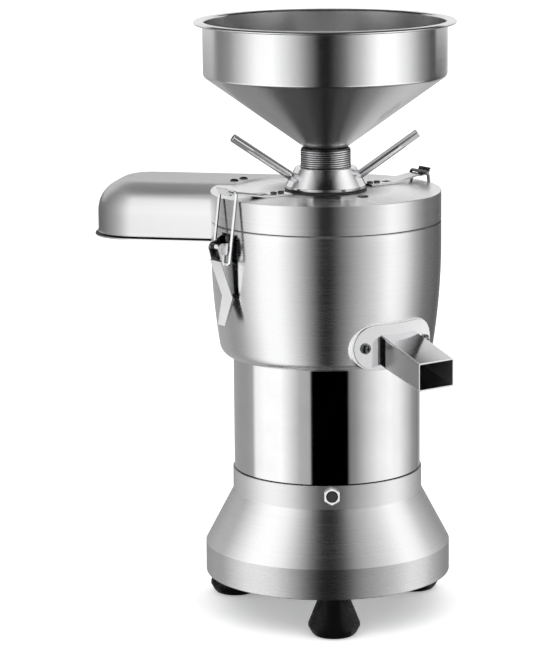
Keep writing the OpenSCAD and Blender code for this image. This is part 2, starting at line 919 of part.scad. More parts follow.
module guide_screws() {
    on_axis() color("gainsboro") for (a = guide_screw_angles) around(a, guide_screw_ring) {
        rod(2 * guide_screw_r, guide_z - guide_head_h, guide_z);
        rod(guide_screw_r, guide_z, lid_hub_z + guide_grip);
    }
}

// Pulp hood

// Section of the hood wall in (distance from the corner centre, height)
module hood_section() {
    polygon(concat(
        [[hood_corner + hood_lip, hood_z], [hood_corner + hood_lip, hood_z + hood_lip_t],
         [hood_corner, hood_z + hood_lip_t + hood_lip]],
        arc(hood_corner - hood_fillet, hood_top - hood_fillet, hood_fillet, 0, 90, hood_steps),
        [[0, hood_top], [0, hood_top - hood_t]],
        arc(hood_corner - hood_fillet, hood_top - hood_fillet, hood_fillet - hood_t, 90, 0, hood_steps),
        [[hood_corner - hood_t, hood_z + hood_lip_t + hood_lip], [hood_corner + hood_lip - hood_t, hood_z]]
    ));
}

// Straight run of the hood wall along local +X, the wall facing local -Y
module hood_run(len) {
    rotate([90, 0, 90]) linear_extrude(len) mirror([1, 0]) hood_section();
}

module hood_sheet() {
    near_c = hood_near + hood_corner;
    far_c = hood_far - hood_corner;
    tip_c = -hood_tip + hood_corner;
    translate([tip_c, near_c, 0]) hood_run(hood_end - tip_c);
    translate([hood_end, far_c, 0]) rotate([0, 0, 180]) hood_run(hood_end - tip_c);
    translate([tip_c, far_c, 0]) rotate([0, 0, -90]) hood_run(far_c - near_c);
    translate([tip_c, near_c, 0]) rotate([0, 0, 180]) rotate_extrude(angle = 90) hood_section();
    translate([tip_c, far_c, 0]) rotate([0, 0, 90]) rotate_extrude(angle = 90) hood_section();
    translate([tip_c, near_c, hood_top - hood_t]) cube([hood_end - tip_c, far_c - near_c, hood_t]);
}

module pulp_hood() {
    on_axis() color("lightgray") difference() {
        hood_sheet();
        rod(chamber_r + hood_gap, hood_z - over, lid_top);
        rod(chamber_r - hood_lap, lid_top - over, hood_top + over);
        for (y = [hood_near - over, hood_far - hood_fillet])
            intersection() {
                rod(chamber_r + hood_gap, lid_top - over, hood_top + over);
                translate([-chamber_r, y, lid_top - over])
                    cube([2 * chamber_r, hood_fillet + over, hood_t + 2 * over]);
            }
        for (a = hood_screw_angles) around(a, hood_screw_ring)
            rod(hood_screw_r, lid_top - over, hood_top + over);
    }
}

module hood_screws() {
    on_axis() color("dimgray") for (a = hood_screw_angles) around(a, hood_screw_ring)
        screw_down(hood_screw_r, 2 * hood_screw_r, hood_head_h, lid_t - over, hood_top);
}

// Milk spout

module milk_spout() {
    on_axis() color("whitesmoke") difference() {
        union() {
            spout_shell(flange_in, flange_out, 0);
            around(spout_angle) side_plate(chute_w) chute_side(flange_in - chute_overlap, chute_reach, 0);
        }
        chute_bore();
        rod(flange_in, chamber_z - over, chamber_top);
        spout_screw_holes(spout_screw_r, spout_screw_root, flange_out + over);
    }
}

module spout_gasket() {
    on_axis() color("white") difference() {
        spout_shell(seat_r, flange_in, boss_margin / 2);
        chute_bore();
        spout_screw_holes(spout_screw_r, spout_screw_root, flange_in + over);
    }
}

module spout_screws() {
    seat = sqrt(pow(flange_out, 2) - pow(spout_screw_y, 2));
    on_axis() color("gainsboro") difference() {
        around(spout_angle) for (s = [-1, 1]) translate([0, s * spout_screw_y, 0]) {
            spoke(spout_screw_r, spout_screw_root, seat + spout_screw_head_h, spout_z);
            spoke(spout_head_r, seat - spout_head_sink, seat + 2 * spout_screw_head_h, spout_z);
        }
        difference() {
            rod(flange_out, chamber_z, chamber_top);
            around(spout_angle) for (s = [-1, 1]) translate([0, s * spout_screw_y, 0])
                spoke(spout_screw_r, spout_screw_root, seat + 2 * spout_screw_head_h, spout_z);
        }
    }
}

// Latches

module strap_side() {
    seat = hook_z - wire_r - hook_gap;
    tip = hook_r + wire_r + strap_past;
    bend = tip + strap_lip_bend;
    lip = [bend + strap_lip_run, seat + strap_lip_h];
    polygon([
        [strap_start, lid_top], [strap_flat, lid_top], [strap_rise, seat - strap_t], [bend, seat - strap_t],
        lip, [lip[0] - strap_lip_edge[0], lip[1] + strap_lip_edge[1]], [tip, seat], [strap_rise, seat],
        [strap_flat, lid_top + strap_t], [strap_start, lid_top + strap_t]
    ]);
}

module strap_plan() {
    end = hook_r + wire_r + strap_end_room;
    polygon([
        [strap_start, -strap_w / 2], [strap_flat, -strap_w / 2], [strap_rise, -strap_tip_w / 2],
        [end, -strap_tip_w / 2], [end, strap_tip_w / 2], [strap_rise, strap_tip_w / 2],
        [strap_flat, strap_w / 2], [strap_start, strap_w / 2]
    ]);
}

module strap_rivet_holes(r) {
    for (a = latch_angles) for (x = strap_rivets_r) around(a, x) rod(r, lid_plate_z + over, hook_z);
}

module lid_straps() {
    on_axis() color("whitesmoke") difference() {
        for (a = latch_angles) around(a) intersection() {
            side_plate(strap_w) strap_side();
            translate([0, 0, lid_top - over]) linear_extrude(2 * hook_lift + 2 * over) strap_plan();
        }
        strap_rivet_holes(rivet_r);
        for (a = latch_angles) around(a)
            translate([strap_flat - strap_slot - strap_slot_gap, -strap_slot / 2, lid_top - over])
                cube([strap_slot, strap_slot, 3 * over + strap_t]);
    }
}

module strap_rivets() {
    on_axis() color("gray") for (a = latch_angles) for (x = strap_rivets_r) around(a, x)
        screw_down(rivet_r, rivet_head_r, rivet_head_h, lid_t - over + strap_t - over, lid_top + strap_t);
}

module bracket_ear() {
    polygon([
        [chamber_r + over, latch_pz - bracket_low + bracket_step], [latch_pr, latch_pz - pivot_pad],
        [latch_pr, latch_pz + pivot_pad], [chamber_r + over, latch_pz + bracket_high - bracket_step]
    ]);
    translate([latch_pr, latch_pz]) circle(r = pivot_pad);
}

module latch_brackets() {
    plate_in = chamber_r + slip_gap / 2;
    plate_out = plate_in + bracket_plate_t;
    on_axis() color("whitesmoke") for (a = latch_angles) around(a) difference() {
        union() {
            intersection() {
                tube(plate_out, plate_in, latch_pz - bracket_low, latch_pz + bracket_high);
                translate([chamber_r / 2, -ear_out, latch_pz - bracket_low])
                    cube([chamber_r, 2 * ear_out, bracket_low + bracket_high]);
            }
            for (s = [-1, 1]) translate([0, s * (ear_in + ear_out) / 2, 0]) side_plate(ear_t) bracket_ear();
        }
        rod(plate_in, latch_pz - 2 * bracket_low, latch_pz + 2 * bracket_high);
        latch_bore(pin_r);
        for (z = bracket_rivet_z) spoke(rivet_r, chamber_r - over, plate_out + over, z);
    }
}

// Hole through both ears or cheeks about the lever pivot
module latch_bore(r) {
    translate([latch_pr, 0, latch_pz]) rotate([90, 0, 0]) cylinder(r = r, h = 4 * lever_w, center = true);
}

module bracket_rivets() {
    seat = chamber_r + slip_gap / 2 + bracket_plate_t;
    on_axis() color("gray") for (a = latch_angles) around(a) difference() {
        for (z = bracket_rivet_z) {
            spoke(rivet_r, chamber_r - rivet_grip, seat + rivet_head_h, z);
            spoke(rivet_head_r, seat - over, seat + rivet_head_h, z);
        }
        difference() {
            rod(seat, latch_pz - bracket_low, latch_pz + bracket_high);
            for (z = bracket_rivet_z) spoke(rivet_r, chamber_r - 2 * rivet_grip, seat + over, z);
        }
    }
}

module latch_pins() {
    on_axis() color("gainsboro") for (a = latch_angles) around(a, latch_pr, latch_pz) rotate([90, 0, 0]) {
        cylinder(r = pin_r, h = 2 * ear_out, center = true);
        for (s = [-1, 1]) translate([0, 0, s * (ear_out + pin_head / 2)])
            cylinder(r = pin_r + pin_head_lap, h = pin_head, center = true);
    }
}

// Side outline of a lever cheek in (distance, height)
module cheek_side() {
    for (x = [0, cheek_swell]) translate([latch_pr + x, latch_pz]) circle(r = pivot_pad);
    translate([latch_pr, latch_pz - pivot_pad]) square([cheek_swell, 2 * pivot_pad]);
    polygon([
        [latch_pr - pivot_pad, latch_pz], [latch_pr + pivot_pad + cheek_swell, latch_pz],
        [lever_fold_r, latch_pz - lever_fold_drop], [lever_bend_r + lever_t, latch_pz - lever_bend],
        [lever_bend_r, latch_pz - lever_bend]
    ]);
}

// Side outline of the lever's outer plate and its flared tongue
module lever_side() {
    tip_r = latch_pr - lever_tip_in;
    polygon([
        [lever_fold_r, latch_pz - lever_fold_drop], [lever_fold_r + lever_t, latch_pz - lever_fold_drop],
        [lever_bend_r + 2 * lever_t, latch_pz - lever_bend], [tip_r + lever_t, latch_pz - lever_len],
        [tip_r, latch_pz - lever_len], [lever_bend_r, latch_pz - lever_bend - lever_t],
        [lever_bend_r + lever_t, latch_pz - lever_bend]
    ]);
}

module lever_front() {
    polygon([
        [-lever_w / 2, latch_pz], [lever_w / 2, latch_pz], [lever_w / 2, latch_pz - lever_bend],
        [lever_tip_w / 2, latch_pz - lever_len], [-lever_tip_w / 2, latch_pz - lever_len],
        [-lever_w / 2, latch_pz - lever_bend]
    ]);
}

module lever(angle) {
    on_axis() around(angle) difference() {
        union() {
            intersection() {
                side_plate(lever_w) lever_side();
                face_plate(chamber_r - over, latch_pr + lever_len) lever_front();
            }
            for (s = [-1, 1]) translate([0, s * (lever_w - cheek_t) / 2, 0]) intersection() {
                side_plate(cheek_t) cheek_side();
                translate([0, -lever_w, latch_pz - lever_bend + cheek_end])
                    cube([2 * latch_pr, 2 * lever_w, lever_len]);
            }
        }
        latch_bore(pin_r + run_gap);
        translate([latch_pr, 0, bail_qz]) rotate([90, 0, 0])
            cylinder(r = wire_r + run_gap, h = 2 * lever_w, center = true);
    }
}

module left_lever() {
    color("whitesmoke") lever(latch_angles[0]);
}

module right_lever() {
    color("whitesmoke") lever(latch_angles[1]);
}

// Wire loop: a crossbar, two legs and two ends turned into the lever
module bail(angle) {
    leg = [hook_r - latch_pr, hook_z - bail_qz];
    leg_len = norm(leg);
    lean = atan2(leg[0], leg[1]);
    end_in = lever_w / 2 - cheek_t - bail_end_gap;
    on_axis() around(angle, latch_pr, bail_qz) rotate([0, lean, 0]) {
        translate([0, 0, leg_len]) rotate([90, 0, 0]) cylinder(r = wire_r, h = 2 * bail_y, center = true);
        for (s = [-1, 1]) {
            translate([0, s * bail_y, 0]) cylinder(r = wire_r, h = leg_len);
            for (z = [0, leg_len]) translate([0, s * bail_y, z]) sphere(r = wire_r);
            translate([0, s * bail_y, 0]) rotate([s * 90, 0, 0]) cylinder(r = wire_r, h = bail_y - end_in);
        }
    }
}

module left_bail() {
    color("gainsboro") bail(latch_angles[0]);
}

module right_bail() {
    color("gainsboro") bail(latch_angles[1]);
}

// Electrics

module overload_breaker() {
    on_axis() color("black") around(breaker_angle) difference() {
        union() {
            spoke(breaker_body_r, breaker_face - breaker_body_len, breaker_face, breaker_z);
            spoke(breaker_bush_r, breaker_face - over, breaker_seat + breaker_nut_t, breaker_z);
        }
        spoke(button_r + move_gap, neck_in - button_room, breaker_seat + breaker_nut_t + over, breaker_z);
    }
}

module breaker_nut() {
    on_axis() color("gainsboro") around(breaker_angle) difference() {
        translate([breaker_seat, 0, breaker_z]) rotate([0, 90, 0])
            cylinder(r = breaker_nut_r, h = breaker_nut_t, $fn = 6);
        spoke(breaker_bush_r, breaker_seat - over, breaker_seat + breaker_nut_t + over, breaker_z);
    }
}

module reset_button() {
    front = breaker_seat + breaker_nut_t + button_out;
    on_axis() color("black") around(breaker_angle)
        spoke(button_r, neck_in - button_room + move_gap, front, breaker_z);
}

module switch_housing() {
    on_axis() color("black") around(switch_angle, 0, rim_mid) difference() {
        union() {
            translate([switch_seat, -switch_w / 2, -switch_h / 2]) cube([bezel_t, switch_w, switch_h]);
            translate([switch_seat - switch_body_len, -switch_body_w / 2, -switch_body_h / 2])
                cube([switch_body_len + over, switch_body_w, switch_body_h]);
        }
        translate([switch_seat + bezel_t - rocker_pocket, 0, 0])
            translate([0, -rocker_w / 2 - 3 * move_gap, -rocker_h / 2 - move_gap])
                cube([rocker_pocket + over, rocker_w + 6 * move_gap, rocker_h + 2 * move_gap]);
        translate([switch_seat, 0, 0])
            cylinder(r = trunnion_r + run_gap, h = rocker_h + 2 * (trunnion_len + move_gap), center = true);
    }
}

module power_rocker() {
    on_axis() color("firebrick") around(switch_angle, switch_seat, rim_mid) rotate([0, 0, -rocker_tilt]) {
        linear_extrude(rocker_h, center = true) polygon([
            [-rocker_back, -rocker_w / 2], [bezel_t + rocker_out, -rocker_w / 2],
            [bezel_t + rocker_out - rocker_dip, 0], [bezel_t + rocker_out, rocker_w / 2],
            [-rocker_back, rocker_w / 2]
        ]);
        cylinder(r = trunnion_r, h = rocker_h + 2 * trunnion_len, center = true);
    }
}

module cord_gland() {
    on_axis() color("black") around(gland_angle) difference() {
        union() {
            spoke(gland_thread_r, rim_in - 2 * gland_nut_t, gland_seat, rim_mid);
            translate([gland_seat, 0, rim_mid]) rotate([0, 90, 0])
                cylinder(r = gland_hex_r, h = gland_hex_t, $fn = 6);
            translate([gland_seat + gland_hex_t, 0, rim_mid]) rotate([0, 90, 0])
                cylinder(r1 = gland_dome_r, r2 = gland_dome_r - gland_taper, h = gland_len - gland_hex_t);
        }
        spoke(cord_hole_r, rim_in - 3 * gland_nut_t, gland_seat + gland_len + over, rim_mid);
    }
}

module gland_nut() {
    on_axis() color("black") around(gland_angle) difference() {
        translate([sqrt(pow(rim_in, 2) - pow(gland_hex_r, 2)) - gland_nut_t, 0, rim_mid]) rotate([0, 90, 0])
            cylinder(r = gland_hex_r, h = gland_nut_t, $fn = 6);
        spoke(gland_thread_r, rim_in - 3 * gland_nut_t, rim_in, rim_mid);
    }
}

// The capacitor lies along X on the bottom plate, under a saddle clamp
module capacitor() {
    on_axis() color("gainsboro") translate([0, capacitor_y, capacitor_z]) rotate([0, 90, 0])
        cylinder(r = capacitor_r, h = capacitor_len, center = true);
}

module capacitor_clamp() {
    saddle_r = capacitor_r + clamp_t;
    on_axis() color("silver") translate([0, capacitor_y, capacitor_z]) difference() {
        union() {
            rotate([0, 90, 0]) cylinder(r = saddle_r, h = clamp_w, center = true);
            translate([-clamp_w / 2, -saddle_r, -capacitor_r]) cube([clamp_w, 2 * saddle_r, capacitor_r]);
            translate([-clamp_w / 2, -clamp_ear_y - clamp_foot / 2, -capacitor_r])
                cube([clamp_w, 2 * clamp_ear_y + clamp_foot, clamp_t]);
        }
        rotate([0, 90, 0]) cylinder(r = capacitor_r, h = 2 * clamp_w, center = true);
        translate([-clamp_w, -capacitor_r, -2 * capacitor_r])
            cube([2 * clamp_w, 2 * capacitor_r, 2 * capacitor_r]);
        translate([-clamp_w, -saddle_r - over, -2 * capacitor_r])
            cube([2 * clamp_w, 2 * (saddle_r + over), capacitor_r]);
        for (s = [-1, 1]) translate([0, s * clamp_ear_y, 0]) rod(small_screw_r, -2 * capacitor_r, 0);
    }
}

module terminal_block() {
    corner = [-terminal_size[0] / 2, terminal_y - terminal_size[1] / 2, plate_top];
    on_axis() color("ivory") translate(corner) difference() {
        cube(terminal_size);
        for (x = [terminal_inset, terminal_size[0] - terminal_inset])
            translate([x, terminal_size[1] / 2, 0]) {
                rod(small_screw_r, -over, terminal_size[2]);
                rod(2 * small_screw_r, plate_t + clamp_t, terminal_size[2] + over);
            }
    }
}

module inner_screws() {
    on_axis() color("gray") for (i = [0:len(inner_screw_places) - 1]) {
        p = inner_screw_places[i];
        seat = plate_top + (i < 2 ? clamp_t : plate_t + clamp_t);
        translate([p[0], p[1], 0])
            screw_down(small_screw_r, small_head_r, small_head_h, seat - base_z, seat);
    }
}

// Adjusting ring and feed tube

// Rod along a handle's own axis, counted from where it leaves the ring
module handle_rod(r, x0, x1) {
    translate([handle_root_r, 0, handle_root_z]) rotate([0, 90 - handle_rise, 0])
        translate([0, 0, x0]) cylinder(r = r, h = x1 - x0);
}

module ring_body() {
    rotate_extrude() polygon([
        [ring_in, spigot_z], [ring_spigot_r, spigot_z], [ring_spigot_r, clip_z],
        [ring_spigot_r - clip_groove, clip_z], [ring_spigot_r - clip_groove, clip_z + clip_t],
        [ring_spigot_r, clip_z + clip_t], [ring_spigot_r, ring_z], [ring_r - ring_edge, ring_z],
        [ring_r, ring_z + ring_edge], [ring_r, ring_cone_z], [ring_top_r, ring_top - ring_edge],
        [ring_top_r - ring_edge, ring_top], [ring_in, ring_top]
    ]);
}

module adjusting_ring() {
    on_axis() color("gainsboro") difference() {
        ring_body();
        for (s = [0, 180]) around(handle_angle + s) handle_rod(handle_r, -handle_socket, handle_len);
    }
}

module ring_handles() {
    on_axis() color("gainsboro") for (s = [0, 180]) around(handle_angle + s) {
        handle_rod(handle_r, -handle_socket, handle_len - handle_edge);
        handle_rod(handle_r - handle_edge, handle_len - handle_edge, handle_len);
    }
}

module ring_circlip() {
    on_axis() color("dimgray") difference() {
        tube(clip_r, ring_spigot_r - clip_groove, clip_z, clip_z + clip_t);
        around(handle_angle, 0, clip_z - over)
            translate([ring_in, -clip_slot / 2, 0]) cube([clip_r, clip_slot, clip_t + 2 * over]);
    }
}

// Outer outline of the thread, from the first root up
function thread_outline() = [for (i = [0:thread_count - 1])
    for (p = [[tube_root, 0], [tube_r, thread_rise], [tube_r, thread_crest], [tube_root, thread_fall]])
        [p[0], thread_z + (i + p[1]) * thread_pitch]];

module feed_tube() {
    on_axis() color("silver") difference() {
        rotate_extrude() polygon(concat(
            [[tube_in, tube_flange_z], [stone_r, tube_flange_z], [stone_r, tube_flange_z + tube_flange_t],
             [tube_root, tube_flange_z + tube_flange_t]],
            thread_outline(),
            [[tube_root, tube_top], [tube_in, tube_top]]
        ));
        for (s = [0, 180]) around(s)
            translate([tube_root - key_depth, -key_w / 2, tube_flange_z + tube_flange_t])
                cube([key_depth + key_lap, key_w, thread_z - tube_flange_z - tube_flange_t]);
        for (a = guide_screw_angles) around(a, stone_screw_ring)
            rod(stone_screw_r, tube_flange_z - over, tube_flange_z + tube_flange_t + over);
    }
}

module upper_stone() {
    on_axis() color("tan") difference() {
        rotate_extrude() polygon([
            [stone_eye_r, upper_stone_z + stone_dish], [stone_r - stone_land, upper_stone_z],
            [stone_r, upper_stone_z], [stone_r, tube_flange_z], [stone_eye_r, tube_flange_z]
        ]);
        for (a = guide_screw_angles) around(a, stone_screw_ring)
            rod(stone_screw_r, tube_flange_z - stone_h / 2, tube_flange_z + over);
    }
}

module stone_screws() {
    top = tube_flange_z + tube_flange_t;
    on_axis() color("gray") for (a = guide_screw_angles) around(a, stone_screw_ring)
        screw_down(stone_screw_r, 2 * stone_screw_r, stone_head_h, stone_h / 2 + tube_flange_t - over, top);
}

module hopper_seal() {
    on_axis() color("black") tube(hopper_neck_r, hopper_spigot_r, seal_z, hopper_z);
}

// Hopper

// Outline of the hopper from the spigot up, moved inwards by the inset
function hopper_side(inset) =
    let (s = inset / sin(90 - hopper_slope), h = inset * tan(hopper_slope / 2))
    [[hopper_spigot_r - inset, hopper_z - spigot_len], [hopper_spigot_r - inset, hopper_z + h / 2],
     [hopper_neck_r - inset / 2, hopper_z + h],
     [hopper_r - inset - hopper_blend * cos(hopper_slope),
      hopper_crease_z + s / 2 - hopper_blend * sin(hopper_slope) + h],
     [hopper_r - inset, hopper_crease_z + hopper_blend + h], [hopper_r - inset, hopper_top]];

module hopper() {
    on_axis() color("silver") rotate_extrude() {
        polygon(concat(
            hopper_side(0),
            [[hopper_r, hopper_top - hopper_t], [hopper_rim_r - rim_bead, hopper_top - hopper_t],
             [hopper_rim_r - rim_bead, hopper_top]],
            [for (i = [len(hopper_side(0)) - 1:-1:0]) hopper_side(hopper_t)[i]]
        ));
        translate([hopper_rim_r - rim_bead, hopper_top - rim_bead]) circle(r = rim_bead);
    }
}

// Rotor

module motor_shaft() {
    on_axis() color("gainsboro") {
        rod(shaft_r, shaft_z, carrier_z + carrier_t);
        rod(stud_r, carrier_z, stud_top);
    }
}

module rotor_core() {
    on_axis() color("slategray") tube(rotor_r, shaft_r, stator_z, stator_top);
}

module cooling_fan() {
    on_axis() color("black") difference() {
        union() {
            rod(fan_hub_r, fan_z, fan_z + fan_h);
            rod(fan_r, fan_z + fan_h - fan_plate_t, fan_z + fan_h);
            for (i = [1:fan_blades]) around(i * 360 / fan_blades) translate([0, -fan_blade_t / 2, fan_z])
                cube([fan_r - fan_blade_in, fan_blade_t, fan_h]);
        }
        rod(shaft_r, fan_z - over, fan_z + fan_h + over);
    }
}

module stone_carrier() {
    on_axis() color("silver") rotate_extrude() polygon([
        [shaft_r, carrier_z - carrier_hub_h], [carrier_hub_r, carrier_z - carrier_hub_h],
        [carrier_hub_r, carrier_z],
        [stone_r + carrier_lip, carrier_z], [stone_r + carrier_lip, lower_stone_z + carrier_lip_h],
        [stone_r, lower_stone_z + carrier_lip_h], [stone_r, lower_stone_z], [shaft_r, lower_stone_z]
    ]);
}

module lower_stone() {
    on_axis() color("tan") rotate_extrude() polygon([
        [stone_eye_r, lower_stone_z], [stone_r, lower_stone_z], [stone_r, lower_stone_top],
        [stone_r - stone_land, lower_stone_top], [stone_eye_r, lower_stone_top - stone_dish]
    ]);
}

module filter_basket() {
    on_axis() color("lightgray") rotate_extrude() polygon([
        [carrier_hub_r, carrier_z - basket_flange_t], [basket_foot_r, carrier_z - basket_flange_t],
        [basket_r, basket_top], [basket_r - basket_t, basket_top],
        [basket_foot_r - basket_t, carrier_z], [carrier_hub_r, carrier_z]
    ]);
}

module carrier_nut() {
    on_axis() color("gray") difference() {
        translate([0, 0, lower_stone_z]) cylinder(r = nut_r, h = nut_h, $fn = 6);
        rod(stud_r, lower_stone_z - over, lower_stone_z + nut_h + over);
    }
}

base();
bottom_plate();
rubber_feet();
foot_screws();
motor_barrel();
lower_end_bracket();
upper_end_bracket();
stator_core();
stator_windings();
lower_bearing();
upper_bearing();
tie_bolts();
chamber();
shaft_seal();
lid_gasket();
lid();
lid_plug();
thrust_washer();
guide_plate();
guide_screws();
pulp_hood();
hood_screws();
lid_straps();
strap_rivets();
milk_spout();
spout_gasket();
spout_screws();
latch_brackets();
bracket_rivets();
latch_pins();
overload_breaker();
breaker_nut();
switch_housing();
cord_gland();
gland_nut();
capacitor();
capacitor_clamp();
terminal_block();
inner_screws();
adjusting_ring();
ring_handles();
ring_circlip();
feed_tube();
upper_stone();
stone_screws();
hopper_seal();
hopper();
motor_shaft();
rotor_core();
cooling_fan();
stone_carrier();
lower_stone();
filter_basket();
carrier_nut();
left_lever();
left_bail();
right_lever();
right_bail();
reset_button();
power_rocker();
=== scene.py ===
import json
import math

import bmesh
import bpy
from mathutils import Matrix, Vector


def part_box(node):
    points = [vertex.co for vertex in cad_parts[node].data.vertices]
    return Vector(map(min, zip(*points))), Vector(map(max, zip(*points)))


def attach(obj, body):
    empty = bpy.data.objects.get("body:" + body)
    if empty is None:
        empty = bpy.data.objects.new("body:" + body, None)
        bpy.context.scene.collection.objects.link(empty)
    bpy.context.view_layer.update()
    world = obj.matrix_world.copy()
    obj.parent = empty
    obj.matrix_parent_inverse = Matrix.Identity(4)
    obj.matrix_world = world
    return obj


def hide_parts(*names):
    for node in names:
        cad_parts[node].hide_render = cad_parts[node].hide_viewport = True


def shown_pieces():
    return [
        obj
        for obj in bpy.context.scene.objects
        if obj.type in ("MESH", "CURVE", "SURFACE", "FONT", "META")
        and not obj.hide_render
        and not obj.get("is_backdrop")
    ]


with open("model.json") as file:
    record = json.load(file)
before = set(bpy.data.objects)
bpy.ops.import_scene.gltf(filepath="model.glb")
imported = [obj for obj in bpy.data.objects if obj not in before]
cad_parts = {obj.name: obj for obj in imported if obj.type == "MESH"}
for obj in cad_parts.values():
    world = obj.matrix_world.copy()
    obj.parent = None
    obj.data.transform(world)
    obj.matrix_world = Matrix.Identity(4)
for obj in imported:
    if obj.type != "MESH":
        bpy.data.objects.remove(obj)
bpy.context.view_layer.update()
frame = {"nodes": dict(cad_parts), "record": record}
SLOT_OF = {row["node"]: row["material_slot"] for row in frame["record"]["subparts"]}

# The motor axis in the row frame; the machine's sizes are in millimetres about it
MM = 0.001
barrel_low, barrel_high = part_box("motor_barrel")
AXIS = Vector(((barrel_low.x + barrel_high.x) / 2, (barrel_low.y + barrel_high.y) / 2, 0))
UPRIGHT = Matrix.Translation(AXIS) @ Matrix.Scale(MM, 4)
ALONG_X = Matrix.Rotation(math.radians(90), 4, "Y")

# Levels
BASE_Z, RIM_Z, CONE_Z, NECK_Z = 36, 65, 115, 137
CHAMBER_Z, CHAMBER_TOP = 245, 371.5
HOOD_Z, LID_Z, LID_TOP = 348.3, 372.5, 399.5
HUB_Z, RING_Z, RING_CONE_Z, RING_TOP = 380, 401.2, 404.2, 421.2
TUBE_TOP, HOPPER_Z, CREASE_Z, HOPPER_TOP = 438.7, 440, 506.5, 556.98

# Radii; a solid of revolution starts just off its axis
BASE_R, NECK_R, BARREL_R, CHAMBER_R = 115.4, 89, 87.6, 107.5
HOPPER_R, HOPPER_BEAD_R = 113, 119.95
RING_R, RING_TOP_R, TUBE_R, TUBE_ROOT = 37.3, 27.8, 23.4, 22.6
MOTOR_BORE_R, NEAR_AXIS = 80, 0.01

# Plan angles in degrees
SPOUT_ANGLE, LATCH_ANGLES, HANDLE_ANGLES = 318.8, (226, 46), (20, 200)
FOOT_ANGLES = (44.3, 164.3, 284.3)


def spot(x, y, z):
    """A point of the machine in the row frame."""
    return AXIS + Vector((x, y, z)) * MM


def turned_to(angle, tilt=0.0, at=(0, 0, 0)):
    """From local millimetres to the row frame: local X points out at a plan angle, tipped up by tilt."""
    spin = Matrix.Rotation(math.radians(angle), 4, "Z")
    tip = Matrix.Rotation(-math.radians(tilt), 4, "Y")
    return Matrix.Translation(AXIS) @ Matrix.Scale(MM, 4) @ spin @ Matrix.Translation(at) @ tip


# Mesh builders: a build is a list of points and a list of faces

def rounded(points, radii, closed=True, steps=6):
    """A flat outline with its corners rounded; radii is one number or one for each point."""
    count = len(points)
    if not hasattr(radii, "__len__"):
        radii = [radii] * count
    out = []
    for i, (p, radius) in enumerate(zip(points, radii)):
        p = Vector(p)
        if radius == 0 or (not closed and i in (0, count - 1)):
            out.append(p)
            continue
        a, b = Vector(points[i - 1]) - p, Vector(points[(i + 1) % count]) - p
        turn = a.angle(b)
        if turn > math.radians(179):
            out.append(p)
            continue
        reach = min(radius / math.tan(turn / 2), 0.49 * a.length, 0.49 * b.length)
        true_r = reach * math.tan(turn / 2)
        a, b = a.normalized(), b.normalized()
        centre = p + (a + b).normalized() * (true_r / math.sin(turn / 2))
        start, end = p + a * reach - centre, p + b * reach - centre
        sweep = start.angle(end)
        for k in range(steps + 1):
            t = k / steps
            arm = (start * math.sin((1 - t) * sweep) + end * math.sin(t * sweep)) / math.sin(sweep)
            out.append(centre + arm)
    return out


def circle(radii, z):
    """A ring of evenly spaced points about local Z, with a radius for each."""
    turns = [math.tau * k / len(radii) for k in range(len(radii))]
    return [(r * math.cos(a), r * math.sin(a), z) for r, a in zip(radii, turns)]


def lathe(profile, around, matrix=UPRIGHT):
    """A closed outline of (radius, height) turned about local Z."""
    verts, faces = [], []
    count = len(profile)
    for k in range(around):
        c, s = math.cos(math.tau * k / around), math.sin(math.tau * k / around)
        verts += [matrix @ Vector((p[0] * c, p[0] * s, p[1])) for p in profile]
    for k in range(around):
        here, there = k * count, (k + 1) % around * count
        for i in range(count):
            j = (i + 1) % count
            faces.append((here + i, there + i, there + j, here + j))
    return verts, faces


def loops(rings, matrix=UPRIGHT, caps=True, endless=False):
    """Quads between rings of points, with the first and last ring filled, or joined to each other."""
    verts = [matrix @ Vector(p) for ring in rings for p in ring]
    size = len(rings[0])
    faces = []
    for k in range(len(rings) if endless else len(rings) - 1):
        here, there = k * size, (k + 1) % len(rings) * size
        for i in range(size):
            j = (i + 1) % size
            faces.append((here + i, here + j, there + j, there + i))
    if caps and not endless:
        faces.append(tuple(reversed(range(size))))
        faces.append(tuple(range((len(rings) - 1) * size, len(rings) * size)))
    return verts, faces


def wire(points, radius, matrix, sides=20, end=0.4):
    """A round bar along a path of points, with small chamfers at its ends."""
    points = [Vector(p) for p in points]
    turns = [math.tau * k / sides for k in range(sides)]
    last = len(points) - 1
    rings, up = [], None
    for i, p in enumerate(points):
        ahead = (points[min(i + 1, last)] - points[max(i - 1, 0)]).normalized()
        if up is None:
            up = ahead.orthogonal().normalized()
        up = (up - ahead * up.dot(ahead)).normalized()
        side = ahead.cross(up)
        spokes = [up * math.cos(a) + side * math.sin(a) for a in turns]
        stops = [(p, radius)]
        if i == 0:
            stops = [(p, radius - end), (p + ahead * end, radius)]
        elif i == last:
            stops = [(p - ahead * end, radius), (p, radius - end)]
        rings += [[at + spoke * r for spoke in spokes] for at, r in stops]
    return loops(rings, matrix)


def joined(*builds):
    """Several builds as one."""
    verts, faces = [], []
    for points, sides in builds:
        start = len(verts)
        verts += points
        faces += [tuple(start + i for i in face) for face in sides]
    return verts, faces


def put(build, matrix):
    """A build moved by a matrix."""
    return [matrix @ v for v in build[0]], build[1]


def new_object(name, build):
    """An object from a build, with its normals outwards."""
    mesh = bpy.data.meshes.new(name)
    mesh.from_pydata([tuple(v) for v in build[0]], [], build[1])
    bm = bmesh.new()
    bm.from_mesh(mesh)
    bmesh.ops.remove_doubles(bm, verts=bm.verts, dist=1e-8)
    bmesh.ops.recalc_face_normals(bm, faces=bm.faces)
    bm.to_mesh(mesh)
    bm.free()
    obj = bpy.data.objects.new(name, mesh)
    bpy.context.scene.collection.objects.link(obj)
    return obj


